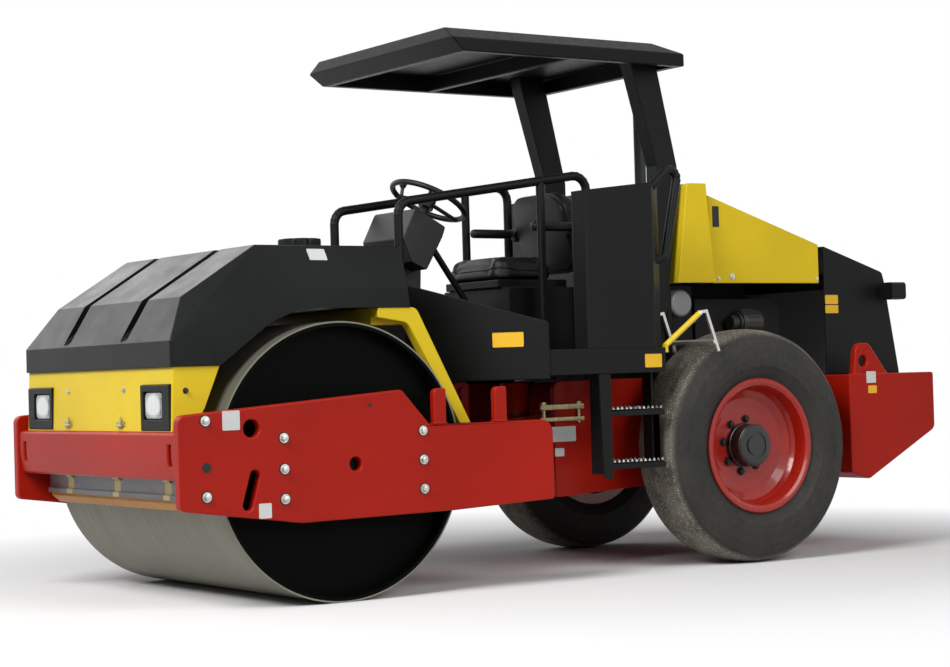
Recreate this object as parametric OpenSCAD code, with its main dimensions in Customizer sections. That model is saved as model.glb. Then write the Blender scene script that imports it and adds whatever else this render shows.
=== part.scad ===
// Single-drum articulated road roller with an open operator platform.
// Millimetres, +X forward (drum end), +Y left, +Z up, origin on the floor under the middle.

/* [Overall] */
// Drum axis to the front end of the drum frame
front_reach = 812; // [780:1:900]
// Drum axis to the rear axle
wheelbase = 2400; // [2380:1:2600]
// Rear axle to the back of the counterweight
rear_reach = 1300; // [1290:1:1400]
// Drum axis to the steering pivot
pivot_back = 1500; // [1490:1:1520]

/* [Drum] */
// Outside diameter of the drum
drum_d = 1220; // [1180:1:1225]
// Width of the drum shell
drum_w = 1676; // [1600:1:1680]
// Thickness of the rolled shell
shell_t = 22; // [15:1:35]
// Depth that each end plate sits inside the shell
head_in = 73; // [60:1:90]
// Thickness of each end plate
head_t = 40; // [20:1:45]
// Diameter of the drum's stub shafts
stub_d = 120; // [80:1:140]

/* [Drum frame] */
// Inner face of a side plate from the centre plane
plate_y = 850; // [846:1:870]
// Thickness of a side plate
plate_t = 50; // [40:1:60]
// Height of the rear part of the side plates
plate_low_z = 757; // [750:1:765]
// Diameter of the lifting hole in a side plate
lift_hole_d = 76; // [50:1:80]
// Thickness of the front beam
beam_t = 60; // [50:1:70]
// Top of the front beam
beam_top = 766; // [760:1:770]
// Bottom of the front beam
beam_bottom = 563; // [540:1:580]

/* [Water tank] */
// Half width of the tank at its side crease
tank_y = 790; // [770:1:800]
// Half width of the tank's top
tank_top_y = 666; // [640:1:690]
// Height of the tank above its rear seat
tank_depth = 282; // [260:1:300]
// Bottom of the tank where it stands on the front cover
tank_seat = 1040; // [1030:1:1050]
// Clearance between the drum and the tank over it
drum_gap = 60; // [50:1:70]
// Diameter of the filler cap
cap_d = 200; // [160:1:220]

/* [Hitch] */
// Height of the swing axis and of the steering cylinders
hitch_z = 600; // [595:1:605]
// Diameter of the steering pin
pin_d = 70; // [60:1:80]
// Diameter of the swing shaft
swing_d = 140; // [120:1:150]
// Radius of the hitch head
head_r = 85; // [80:1:88]
// Radial clearance of every running fit
run_gap = 0.05; // [0.02:0.01:0.09]

/* [Steering cylinders] */
// Diameter of a cylinder barrel
barrel_d = 80; // [70:1:84]
// Diameter of a piston rod
rod_d = 44; // [36:1:50]
// Diameter of a barrel's pin
barrel_pin_d = 40; // [30:1:46]

/* [Wheels] */
// Outside diameter of a tyre
tyre_d = 1160; // [1120:1:1164]
// Width of a tyre
tyre_w = 330; // [300:1:336]
// Middle of a tyre from the centre plane
tyre_y = 695; // [690:1:705]
// Diameter of the rim's bead seat
bead_d = 610; // [590:1:620]
// Diameter of an axle stub
axle_d = 90; // [70:1:100]

/* [Rear frame] */
// Outer face of a frame plate from the centre plane
frame_y = 400; // [380:1:410]
// Thickness of a frame plate
frame_t = 30; // [20:1:40]
// Top of the frame plates
frame_top = 850; // [840:1:855]
// Top of the rear frame's side plates under the platform
frame_rise = 930; // [900:1:940]
// Half width of the counterweight
weight_y = 750; // [700:1:800]
// Top of the counterweight
weight_top = 918; // [900:1:930]
// Diameter of a tie-down hole
tie_hole_d = 60; // [40:1:66]

/* [Platform] */
// Top of the platform floor
floor_z = 1077; // [1070:1:1085]
// Thickness of the floor plate
floor_t = 27; // [20:1:40]
// Half width of the platform at the steps
floor_y = 850; // [840:1:852]
// Half width of the platform's front end
nose_y = 330; // [320:1:340]
// Thickness of the platform's panels
panel_t = 25; // [15:1:30]
// Diameter of the handrail tube
rail_d = 44; // [32:1:44]
// Top of the roof
roof_top = 2590; // [2580:1:2620]
// Depth of the roof from its top to its bottom edge
roof_depth = 117; // [110:1:125]

/* [Engine bay] */
// Half width of the cowl in front of the hood
cowl_y = 550; // [545:1:560]
// Half width of the hood
hood_y = 515; // [500:1:520]
// Bottom edge of hood and cowl
hood_low = 1402; // [1395:1:1410]
// Thickness of hood, cowl and shroud walls
skin_t = 15; // [10:1:18]

/* [Hidden] */
$fn = 48;

overall = front_reach + wheelbase + rear_reach;
drum_x = overall / 2 - front_reach;
axle_x = drum_x - wheelbase;
pivot_x = drum_x - pivot_back;
drum_r = drum_d / 2;
axle_z = tyre_d / 2;
pad_h = 90;
pad_top = axle_z + pad_h;
floor_under = floor_z - floor_t;
tank_arch = drum_d + drum_gap;
tank_top = tank_arch + tank_depth;
roof_low = roof_top - roof_depth;

red = "#c8102e";
yellow = "#f2d500";
black = "#1d1d1f";
zinc = "#b8b29c";

// A length ahead of the drum axis, and one ahead of the rear axle
function front(v) = drum_x + v;
function rear(v) = axle_x + v;

function unit(v) = v / norm(v);
// Points of a rounded corner at b, between a and c
function corner(a, b, c, r, n = 5) =
    r <= 0 ? [b] :
    let (u = unit(a - b), v = unit(c - b), half = acos(u * v) / 2,
         o = b + unit(u + v) * r / sin(half),
         p = b + u * r / tan(half), q = b + v * r / tan(half),
         a0 = atan2(p[1] - o[1], p[0] - o[0]), a1 = atan2(q[1] - o[1], q[0] - o[0]),
         d = a1 - a0, s = d > 180 ? d - 360 : d < -180 ? d + 360 : d)
    [for (i = [0:n]) o + r * [cos(a0 + s * i / n), sin(a0 + s * i / n)]];
// An outline whose corners are rounded by the radii given
function rounded(p, r) =
    [for (i = [0:len(p) - 1]) let (k = len(p))
        each corner(p[(i + k - 1) % k], p[i], p[(i + 1) % k], r[i])];
function shift(p, dx, dy = 0) = [for (q = p) [q[0] + dx, q[1] + dy]];

module both_sides() {
    children();
    mirror([0, 1, 0]) children();
}
// A drawing in X and Z, drawn out from y0 to y1
module slab_y(y0, y1) {
    translate([0, y1, 0]) rotate([90, 0, 0]) linear_extrude(y1 - y0) children();
}
// A drawing in Y and Z, drawn out from x0 to x1
module slab_x(x0, x1) {
    translate([x0, 0, 0]) rotate([90, 0, 90]) linear_extrude(x1 - x0) children();
}
// A box between two corners
module block(a, b) {
    translate(a) cube(b - a);
}
module rod_y(x, z, r, y0, y1) {
    translate([x, y0, z]) rotate([-90, 0, 0]) cylinder(r = r, h = y1 - y0);
}
module rod_x(y, z, r, x0, x1) {
    translate([x0, y, z]) rotate([0, 90, 0]) cylinder(r = r, h = x1 - x0);
}
// A round bar between two points
module bar(a, b, r) {
    d = b - a;
    translate(a) rotate([0, acos(d[2] / norm(d)), atan2(d[1], d[0])]) cylinder(r = r, h = norm(d));
}
// A tube along a list of points, with round joints
module tube(p, r) {
    for (i = [0:len(p) - 2]) bar(p[i], p[i + 1], r);
    for (i = [1:len(p) - 2]) translate(p[i]) sphere(r = r * 1.03);
}

// Drum frame

plate_tail = -1085;
plate_hump = 914;
plate_nose_top = 835;
plate_outline = shift(rounded(
    [[front_reach, 440], [front_reach, plate_nose_top], [-273, plate_hump], [-415, plate_low_z],
     [plate_tail, plate_low_z], [plate_tail, 392], [-540, 370], [240, 360]],
    [28, 34, 20, 10, 60, 12, 8, 60]), drum_x);
lift_hole = [front(473), 771];
slot_top = [front(461), 573];
slot_low = [front(498), 450];
slot_w = 46;
sight_hole = [front(-30), 600];
sight_d = 60;
bracket_w = 68;
bracket_top = 915;
bracket_ahead = [-441, -769];

module side_plate() {
    color(red) difference() {
        union() {
            slab_y(plate_y, plate_y + plate_t) polygon(plate_outline);
            for (x = bracket_ahead)
                slab_y(plate_y + 8, plate_y + plate_t - 8)
                    polygon(shift(rounded(
                        [[0, plate_low_z - 40], [0, bracket_top], [-bracket_w, bracket_top],
                         [-bracket_w, plate_low_z - 40]], [0, 24, 10, 0]), front(x)));
        }
        rod_y(lift_hole[0], lift_hole[1], lift_hole_d / 2, plate_y - 1, plate_y + plate_t + 1);
        rod_y(sight_hole[0], sight_hole[1], sight_d / 2, plate_y - 1, plate_y + plate_t + 1);
        rod_y(slot_top[0], slot_top[1], slot_w / 2, plate_y - 1, plate_y + plate_t + 1);
        rod_y(slot_low[0], slot_low[1], slot_w / 2, plate_y - 1, plate_y + plate_t + 1);
        slot_run = slot_top - slot_low;
        slot_side = [slot_run[1], -slot_run[0]] / norm(slot_run) * slot_w / 2;
        slab_y(plate_y - 1, plate_y + plate_t + 1)
            polygon([slot_top + slot_side, slot_top - slot_side,
                     slot_low - slot_side, slot_low + slot_side]);
    }
}
module side_plate_left() { side_plate(); }
module side_plate_right() { mirror([0, 1, 0]) side_plate(); }

beam_front = front(front_reach - 10);
beam_back = beam_front - beam_t;
grab_slot = [768, 800];
module front_beam() {
    color(red) difference() {
        slab_y(-plate_y, plate_y) polygon(rounded(
            [[beam_back, beam_bottom], [beam_front - 12, beam_bottom], [beam_front, beam_bottom + 90],
             [beam_front, beam_top], [beam_back, beam_top]], [0, 18, 30, 18, 0]));
        both_sides() translate([beam_back - 1, grab_slot[0], beam_bottom + 60])
            cube([beam_t + 2, grab_slot[1] - grab_slot[0], 90]);
    }
}

cross_front = front(-640);
cross_back = front(-750);
cross_low = 400;
cross_top = 745;
bearing_r = 115;
bearing_back = pivot_x + 180;
bearing_front = pivot_x + 400;
neck_half = 130;
module rear_beam() {
    color(red) difference() {
        union() {
            block([cross_back, -plate_y, cross_low], [cross_front, plate_y, cross_top]);
            rod_x(0, hitch_z, bearing_r, bearing_back, bearing_front);
            translate([0, 0, hitch_z - neck_half]) linear_extrude(neck_half * 2 - 20)
                polygon([[bearing_front, -bearing_r], [bearing_front, bearing_r],
                         [cross_back, 400], [cross_back, -400]]);
        }
        rod_x(0, hitch_z, swing_d / 2 + run_gap, bearing_back - 1, bearing_front + 40);
    }
}

// Front cover, lamps and tank

cover_y = 780;
cover_tail = 553;
cover_front = front(782);
cover_top_front = front(772);
recess_y = [480, 765];
recess_z = [772, 966];
recess_back = front(735);
module front_cover() {
    color(yellow) difference() {
        slab_y(-cover_y, cover_y) polygon(rounded(
            [[cover_front, beam_top], [cover_top_front, tank_seat], [front(cover_tail), tank_seat],
             [front(628), 863], [front(690), beam_top]], [0, 0, 0, 12, 0]));
        both_sides() block([recess_back, recess_y[0], recess_z[0]],
                           [cover_front + 20, recess_y[1], recess_z[1]]);
    }
}
bezel_front = front(786);
lamp_y = [512, 690];
lamp_z = [819, 936];
lamp_back = front(752);
module lamp_bezels() {
    color(black) both_sides() difference() {
        block([recess_back, recess_y[0], recess_z[0]], [bezel_front, recess_y[1], recess_z[1]]);
        block([lamp_back, lamp_y[0], lamp_z[0]], [bezel_front + 1, lamp_y[1], lamp_z[1]]);
    }
}
module head_lamps() {
    color("white") both_sides()
        block([lamp_back, lamp_y[0], lamp_z[0]], [bezel_front - 8, lamp_y[1], lamp_z[1]]);
}

tank_edge_r = 12;
lip_x = 773;
lip_h = 105;
lip_top = tank_seat + lip_h;
slope_x = 660;
slope_z = tank_arch + 60;
crown_x = 305;
side_crease = tank_arch + 95;
side_crease_front = 368;
tank_tail = -392;
groove_y = [288, 330];
// Corners of the tank: ahead of the drum axis, half width and height
tank_corners = [
    [lip_x, tank_y, tank_seat], [lip_x, tank_y, lip_top], [slope_x, tank_top_y, slope_z],
    [crown_x, tank_top_y, tank_top], [tank_tail - 30, tank_top_y, tank_top],
    [side_crease_front, tank_y, side_crease], [tank_tail + 12, tank_y, side_crease],
    [tank_tail, tank_y, tank_arch], [tank_tail, tank_y, tank_seat]];
module water_tank() {
    color(black) difference() {
        hull() both_sides() for (c = tank_corners)
            translate([front(c[0]), c[1] - tank_edge_r,
                       c[2] - (c[2] > lip_top ? tank_edge_r : 0)])
                sphere(r = tank_edge_r, $fn = 12);
        block([front(-600), -900, 900], [front(900), 900, tank_seat]);
        slab_y(-900, 900) polygon(shift(
            [[-600, tank_seat - 1], [-600, tank_arch], [60, tank_arch], [200, tank_arch - 18],
             [314, tank_arch - 64], [cover_tail, tank_seat], [cover_tail, tank_seat - 1]], drum_x));
        both_sides() hull() for (p = [[lip_x + 6, lip_top + 25], [slope_x + 8, slope_z],
                                      [crown_x - 10, tank_top + 6]])
            for (y = groove_y)
                translate([front(p[0]), y, p[1]]) sphere(r = 14, $fn = 8);
    }
}
cap_x = -170;
cap_y = 200;
cap_h = 60;
module filler_cap() {
    color(black) translate([front(cap_x), cap_y, tank_top]) difference() {
        cylinder(d = cap_d, h = cap_h);
        for (a = [0:45:315]) rotate(a) translate([cap_d / 2 + 6, 0, -1]) cylinder(r = 14, h = cap_h + 2);
    }
}
leg_y = [725, 785];
module tank_legs() {
    color(yellow) both_sides() slab_y(leg_y[0], leg_y[1]) polygon(shift(rounded(
        [[-713, cross_top], [-653, cross_top], [-385, tank_arch - 68], [-230, tank_arch - 45], [-230, tank_arch],
         [-432, tank_arch]], [0, 0, 60, 10, 0, 40]), drum_x));
}

// Drum scraper

scraper_x = [668, 682];
scraper_z = [470, 605];
scraper_y = 770;
scraper_hangers = [-520, 0, 520];
hanger_w = 64;
module front_scraper() {
    color("#7d8084") {
        block([front(scraper_x[0]), -scraper_y, scraper_z[0]], [front(scraper_x[1]), scraper_y, scraper_z[1]]);
        block([front(640), -scraper_y, scraper_z[0]], [front(scraper_x[1] + 10), scraper_y, scraper_z[0] + 22]);
        for (y = scraper_hangers)
            slab_y(y - hanger_w / 2, y + hanger_w / 2) polygon([[front(scraper_x[1]), 540], [beam_back, 600],
                                                               [beam_back, 640], [front(scraper_x[1]), 600]]);
    }
}
blade_y = 825;
module scraper_blade() {
    color("#c79a2e") slab_y(-blade_y, blade_y) polygon(shift(
        [[596, 420], [612, 418], [652, 452], [652, scraper_z[0]], [604, scraper_z[0]]], drum_x));
}

// Drum

head_out = drum_w / 2 - head_in;
hub_r = 140;
hub_in = 45;
module drum() {
    bore = stub_d / 2 + run_gap;
    inner = drum_r - shell_t;
    head_inner = head_out - head_t;
    half = [[bore, head_inner - hub_in], [hub_r, head_inner - hub_in], [hub_r, head_inner],
            [inner, head_inner]];
    rim = [[inner, head_out], [inner, drum_w / 2], [drum_r, drum_w / 2]];
    outline = concat(
        [[bore, head_out]], half,
        [for (i = [len(half) - 1:-1:0]) [half[i][0], -half[i][1]]],
        [[bore, -head_out]], [for (q = rim) [q[0], -q[1]]],
        [for (i = [len(rim) - 1:-1:0]) rim[i]]);
    color("#8d8f92") translate([drum_x, 0, drum_r]) rotate([90, 0, 0])
        rotate_extrude($fn = 96) polygon(outline);
}
carrier_r = 215;
carrier_t = 45;
module drum_carriers() {
    color(black) both_sides() {
        rod_y(drum_x, drum_r, stub_d / 2, head_out - head_t - hub_in + 15, plate_y);
        rod_y(drum_x, drum_r, carrier_r, plate_y - carrier_t, plate_y);
    }
}

// Hitch and steering cylinders

hitch_plate_low = [400, 440];
hitch_plate_high = [715, 755];
side_gap = 5;
ear_z = [515, 540];
ear_at = [100, 260];
ear_r = 45;
barrel_at = [-550, 140];
barrel_end = 430;
gland = 15;
rod_len = 420;
arm = [ear_at[0] - barrel_at[0], ear_at[1] - barrel_at[1]];
rest_len = norm(arm);
rest_angle = atan2(arm[1], arm[0]);
module hitch() {
    color(red) translate([pivot_x, 0, 0]) difference() {
        union() {
            translate([0, 0, hitch_plate_low[1] + side_gap])
                cylinder(r = head_r, h = hitch_plate_high[0] - hitch_plate_low[1] - 2 * side_gap);
            rod_x(0, hitch_z, swing_d / 2, 40, bearing_front - pivot_x + 25);
            translate([0, 0, ear_z[0]]) linear_extrude(ear_z[1] - ear_z[0]) {
                both_sides() translate(ear_at) circle(r = ear_r);
                both_sides() polygon([[-70, 0], [ear_at[0] - ear_r, ear_at[1]],
                                      [ear_at[0] + ear_r, ear_at[1]], [80, 0]]);
            }
        }
        translate([0, 0, 300]) cylinder(r = pin_d / 2 + run_gap, h = 600);
    }
}
module on_cylinder_line() {
    translate([pivot_x + barrel_at[0], barrel_at[1], hitch_z]) rotate(rest_angle) children();
}
module cylinder_body() {
    color(black) on_cylinder_line() difference() {
        union() {
            translate([0, 0, -30]) cylinder(r = 38, h = 60);
            rod_x(0, 0, barrel_d / 2, 20, barrel_end);
        }
        translate([0, 0, -50]) cylinder(r = barrel_pin_d / 2 + run_gap, h = 100);
        rod_x(0, 0, rod_d / 2 + 6, 60, barrel_end - gland);
        rod_x(0, 0, rod_d / 2 + run_gap, 70, barrel_end + 1);
    }
}
module rod() {
    color("silver") on_cylinder_line() {
        rod_x(0, 0, rod_d / 2, rest_len - rod_len, rest_len);
        translate([rest_len, 0, -25]) cylinder(r = 32, h = 50);
        translate([rest_len, 0, ear_z[1] + 6 - hitch_z]) cylinder(r = 16, h = 40);
    }
}
module cylinder_left() { cylinder_body(); }
module cylinder_right() { mirror([0, 1, 0]) cylinder_body(); }
module rod_left() { rod(); }
module rod_right() { mirror([0, 1, 0]) rod(); }

// Rear frame

module hitch_plate(z) {
    translate([pivot_x, 0, z[0]]) linear_extrude(z[1] - z[0]) {
        circle(r = head_r + 25);
        polygon([[-620, -frame_y + frame_t], [-100, -frame_y + frame_t], [20, -head_r - 22], [20, head_r + 22],
                 [-100, frame_y - frame_t], [-620, frame_y - frame_t]]);
    }
}
dome_r = 75;
dome_top = 925;
module rear_frame() {
    color(red) {
        both_sides() slab_y(frame_y - frame_t, frame_y) polygon(shift(rounded(
            [[945, 360], [945, frame_rise], [330, frame_rise], [300, frame_top], [-690, frame_top], [-690, 480],
             [-230, 480], [-130, pad_top], [130, pad_top], [240, 400]],
            [20, 40, 20, 20, 0, 30, 40, 40, 40, 40]), axle_x));
        hitch_plate(hitch_plate_low);
        hitch_plate(hitch_plate_high);
        block([pivot_x - 620, -frame_y + frame_t, hitch_plate_low[0]],
              [pivot_x - 595, frame_y - frame_t, hitch_plate_high[1]]);
        block([rear(-690), -frame_y + frame_t, 480], [rear(-660), frame_y - frame_t, frame_top]);
        translate([pivot_x, 0, hitch_plate_low[0]]) cylinder(d = pin_d, h = dome_top - 10 - hitch_plate_low[0]);
        translate([pivot_x, 0, hitch_plate_high[1]]) cylinder(r = dome_r, h = dome_top - hitch_plate_high[1]);
        both_sides() translate([pivot_x + barrel_at[0], barrel_at[1], hitch_plate_low[1]])
            cylinder(d = barrel_pin_d, h = hitch_z + 40 - hitch_plate_low[1]);
    }
}
link_x = [-370, -110];
link_y = [210, 285];
link_t = 12;
link_h = 40;
module lock_link() {
    color(zinc) translate([pivot_x, 0, hitch_plate_high[1]]) {
        block([link_x[0], link_y[0], 0], [link_x[1], link_y[1], link_t]);
        block([link_x[0], link_y[0], link_h - link_t], [link_x[1], link_y[1], link_h]);
        block([-275, link_y[0] + 10, link_t], [-205, link_y[1] - 10, link_h - link_t]);
    }
}
axle_r = 85;
module rear_axle() {
    color(black) translate([axle_x, 0, axle_z]) {
        rod_y(0, 0, axle_r, -500, 500);
        rod_y(0, 0, 150, -140, 140);
        rod_y(0, 0, axle_d / 2, -tyre_y - 20, tyre_y + 20);
        both_sides() block([-70, frame_y - frame_t - 5, 0], [70, frame_y + 5, pad_top - axle_z]);
    }
}
ear_x = -805;
ear_hole_z = 985;
tie_r = 95;
tie_y = [695, 735];
module counterweight() {
    color(red) {
        slab_y(-weight_y, weight_y) polygon(shift(rounded(
            [[-690, weight_top], [-690, 410], [-815, 372], [-rear_reach, 620], [-rear_reach, weight_top]],
            [0, 20, 30, 40, 14]), axle_x));
        both_sides() difference() {
            slab_y(tie_y[0], tie_y[1]) polygon(shift(rounded(
                [[ear_x + 70, weight_top - 20], [ear_x + 45, ear_hole_z + tie_r], [ear_x - 45, ear_hole_z + tie_r],
                 [ear_x - 190, weight_top - 20]], [0, 50, 50, 0]), axle_x));
            rod_y(rear(ear_x), ear_hole_z, tie_hole_d / 2, tie_y[0] - 1, tie_y[1] + 1);
        }
    }
}

// Operator platform

sill_gap = 20;
sill_x = [tyre_d / 2 + sill_gap, 1284];
sill_low = 957;
nose_x = 1740;
floor_tail = [330, 500];
skirt_t = 25;
support_x = [[640, 740], [860, 935]];
module platform() {
    color(black) {
        translate([axle_x, 0, floor_under]) linear_extrude(floor_t)
            polygon([[floor_tail[0], -floor_tail[1]], [sill_x[0], -floor_tail[1]], [sill_x[0], -floor_y],
                     [sill_x[1], -floor_y], [nose_x, -nose_y], [nose_x, nose_y], [sill_x[1], floor_y],
                     [sill_x[0], floor_y], [sill_x[0], floor_tail[1]], [floor_tail[0], floor_tail[1]]]);
        both_sides() {
            block([rear(sill_x[0]), floor_y - skirt_t, sill_low], [rear(sill_x[1]), floor_y, floor_under]);
            for (s = support_x)
                block([rear(s[0]), frame_y - frame_t - 5, frame_rise], [rear(s[1]), frame_y + 5, floor_under]);
        }
    }
}
panel_low = 940;
panel_high = [1200, 1400];
module platform_panels() {
    run = [nose_x - sill_x[1], nose_y - floor_y];
    out = [-run[1], run[0]] / norm(run) * panel_t;
    a = [sill_x[1], floor_y];
    b = [nose_x, nose_y];
    ao = a + out;
    bo = b + out;
    color(black) intersection() {
        translate([axle_x, 0, panel_low]) linear_extrude(panel_high[1] - panel_low) {
            both_sides() polygon([a, b, bo, ao]);
            polygon([[b[0], -b[1]], b, bo, [bo[0], -bo[1]]]);
        }
        slab_y(-1000, 1000) polygon(shift(
            [[sill_x[1] - 100, panel_low], [nose_x + 100, panel_low], [nose_x + 100, panel_high[1]],
             [nose_x, panel_high[1]], [sill_x[1], panel_high[0]], [sill_x[1] - 100, panel_high[0]]], axle_x));
    }
}
step_post_x = [932, 996];
step_low = 460;
step_gap = 32;
tread_x = [tyre_d / 2 + step_gap, step_post_x[0]];
tread_z = [505, 755];
tread_t = 24;
tread_y = [690, 846];
module steps() {
    color(black) both_sides() {
        slab_y(floor_y - 16, floor_y - 4) polygon(shift(rounded(
            [[step_post_x[0], step_low], [step_post_x[1] - 10, step_low], [step_post_x[1] + 5, sill_low],
             [step_post_x[0], sill_low]], [10, 30, 0, 0]), axle_x));
        block([rear(step_post_x[0]), tread_y[0], step_low + 20], [rear(step_post_x[0] + 14), floor_y - 10, sill_low]);
        block([rear(tread_x[0]), tread_y[0], tread_z[0]], [rear(tread_x[0] + 14), tread_y[0] + 70, floor_under]);
        for (z = tread_z) {
            block([rear(tread_x[0]), tread_y[0], z], [rear(tread_x[1]), tread_y[1], z + tread_t]);
            for (y = [tread_y[0] + 10:24:tread_y[1] - 10])
                block([rear(tread_x[0]), y, z + tread_t], [rear(tread_x[1]), y + 8, z + tread_t + 8]);
        }
    }
}
box_front = 1061;
box_back = sill_x[0] + 60;
box_tail = sill_x[0] - 32;
box_y = [735, 850];
box_high = [1822, 1870];
grab_y = 800;
grab_ends = [[box_back - 38, 1850], [box_back - 38, 1496]];
grab_bends = [[box_back - 224, 2012], [box_back - 112, 1512]];
grab_bend_r = 42;
grab_line = concat([grab_ends[0]], corner(grab_ends[0], grab_bends[0], grab_bends[1], grab_bend_r),
                   corner(grab_bends[0], grab_bends[1], grab_ends[1], grab_bend_r), [grab_ends[1]]);
grab_path = [for (q = grab_line) [q[0], grab_y, q[1]]];
module side_tanks() {
    color(black) translate([axle_x, 0, 0]) {
        intersection() {
            translate([0, 0, floor_z]) linear_extrude(box_high[1] - floor_z) polygon(rounded(
                [[box_front, box_y[0]], [box_front, box_y[1]], [box_back, box_y[1]], [box_tail, 780],
                 [box_tail, box_y[0]]], [16, 16, 12, 12, 8]));
            slab_y(0, 1000) polygon([[0, floor_z], [box_front + 10, floor_z], [box_front + 10, box_high[0]],
                                     [box_back, box_high[1]], [0, box_high[1]]]);
        }
        tube(grab_path, rail_d / 2);
    }
}
rail_front = [1749.5, 300];
rail_back = [672, 345];
rail_front_z = 1795;
rail_back_z = 1955;
rail_mid = 945;
rail_bend_r = 70;
function rail_side(x) = rail_front[1] + (rail_front[0] - x) / (rail_front[0] - rail_back[0]) * (rail_back[1] - rail_front[1]);
rail_ends = [[rail_front[0], panel_high[1]], [rail_back[0], floor_z]];
rail_bends = [[rail_front[0], rail_front_z], [rail_back[0], rail_back_z]];
rail_line = concat([rail_ends[0]], corner(rail_ends[0], rail_bends[0], rail_bends[1], rail_bend_r),
                   corner(rail_bends[0], rail_bends[1], rail_ends[1], rail_bend_r), [rail_ends[1]]);
module handrails() {
    mid_z = rail_front_z + (rail_front[0] - rail_mid) / (rail_front[0] - rail_back[0]) * (rail_back_z - rail_front_z);
    color(black) both_sides() translate([axle_x, 0, 0]) {
        tube([for (q = rail_line) [q[0], rail_side(q[0]), q[1]]], rail_d / 2);
        bar([rail_mid, rail_side(rail_mid), floor_z], [rail_mid, rail_side(rail_mid), mid_z], rail_d / 2 - 1);
    }
}
console_x = [1410, 1657];
console_y = 190;
console_z = [1480, 1785];
wheel_at = [1385, 0, 1835];
wheel_tilt = 28;
wheel_r = 190;
hub_drop = 40;
module console() {
    color(black) translate([axle_x, 0, 0]) {
        slab_y(-console_y, console_y) polygon(rounded(
            [[console_x[1], console_z[0] + 155], [console_x[1] - 78, console_z[1]], [console_x[0], console_z[1] - 93],
             [console_x[0] + 19, console_z[1] - 142], [console_x[0] + 116, console_z[0]],
             [console_x[1] - 47, console_z[0] + 40]], [14, 18, 12, 8, 14, 14]));
        translate(wheel_at) rotate([0, -wheel_tilt, 0]) translate([0, 0, -wheel_r])
            cylinder(r = 20, h = wheel_r - hub_drop);
        slab_y(-70, 70) polygon([[1500, floor_z], [1620, floor_z], [1590, console_z[0] + 60], [1480, console_z[0] + 60]]);
    }
}
module steering_wheel() {
    color(black) translate([axle_x, 0, 0]) translate(wheel_at) rotate([0, -wheel_tilt, 0]) {
        rotate_extrude($fn = 40) translate([wheel_r, 0]) circle(r = 14, $fn = 16);
        translate([0, 0, -hub_drop]) cylinder(r = 38, h = hub_drop + 10);
        for (a = [0, 120, 240]) rotate(a + 60) rod_x(0, -8, 10, 20, wheel_r);
    }
}
seat_x = [705, 1160];
base_x = [490, 1120];
base_y = 290;
seat_y = 250;
pan_z = [1395, 1435];
cushion_top = 1545;
module seat_base() {
    color(black) translate([axle_x, 0, 0]) {
        block([base_x[0], -base_y, floor_z], [base_x[1], base_y, pan_z[0]]);
        block([seat_x[0] + 20, -seat_y + 15, pan_z[0]], [seat_x[1] - 15, seat_y - 15, pan_z[1]]);
    }
}
module seat_cushion() {
    color(black) translate([axle_x, 0, pan_z[1]]) linear_extrude(cushion_top - pan_z[1])
        polygon(rounded([[seat_x[0] + 85, -seat_y], [seat_x[1], -seat_y], [seat_x[1], seat_y], [seat_x[0] + 85, seat_y]],
                        [30, 70, 70, 30]));
}
module seat_back() {
    color(black) translate([axle_x, 0, 0]) {
        slab_y(-240, 240) polygon(rounded(
            [[seat_x[0] + 25, pan_z[1]], [seat_x[0] + 82, pan_z[1]], [seat_x[0] + 84, cushion_top],
             [seat_x[0] - 20, 1885], [seat_x[0] - 125, 1885], [seat_x[0] - 25, cushion_top]],
            [0, 0, 0, 40, 40, 0]));
        both_sides() {
            slab_y(240, 300) polygon(rounded(
                [[seat_x[0] - 40, 1650], [960, 1672], [960, 1722], [seat_x[0] - 55, 1722]], [20, 24, 24, 20]));
        }
    }
}
post_y = [430, 520];
roof_skin = 40;
knee_z = [1900, 1990];
post_lean = 0.29;
module rops_posts() {
    ceiling = roof_top - roof_skin;
    over = (ceiling - knee_z[1]) * post_lean;
    color(black) both_sides() slab_y(post_y[0], post_y[1]) polygon(shift(
        [[470, floor_z], [340, floor_z], [225, knee_z[0]], [225, knee_z[1]], [190 + over, ceiling],
         [355 + over, ceiling], [355, knee_z[1]], [355, knee_z[0]]], axle_x));
}
roof_y = 662;
module roof() {
    color(black) difference() {
        intersection() {
            slab_y(-roof_y - 20, roof_y + 20) polygon(shift(
                [[1587, roof_low], [1660, roof_low + 60], [1648, roof_top], [420, roof_top],
                 [285, roof_low + 60], [275, roof_low]], axle_x));
            slab_x(rear(200), rear(1700)) polygon(
                [[-roof_y, roof_low], [roof_y, roof_low], [roof_y + 12, roof_low + 60], [588, roof_top],
                 [-588, roof_top], [-roof_y - 12, roof_low + 60]]);
        }
        for (x = [[320, 930], [970, 1545]])
            block([rear(x[0]), -roof_y + 45, roof_low - 1], [rear(x[1]), roof_y - 45, roof_top - roof_skin]);
    }
}

// Engine bay

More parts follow.
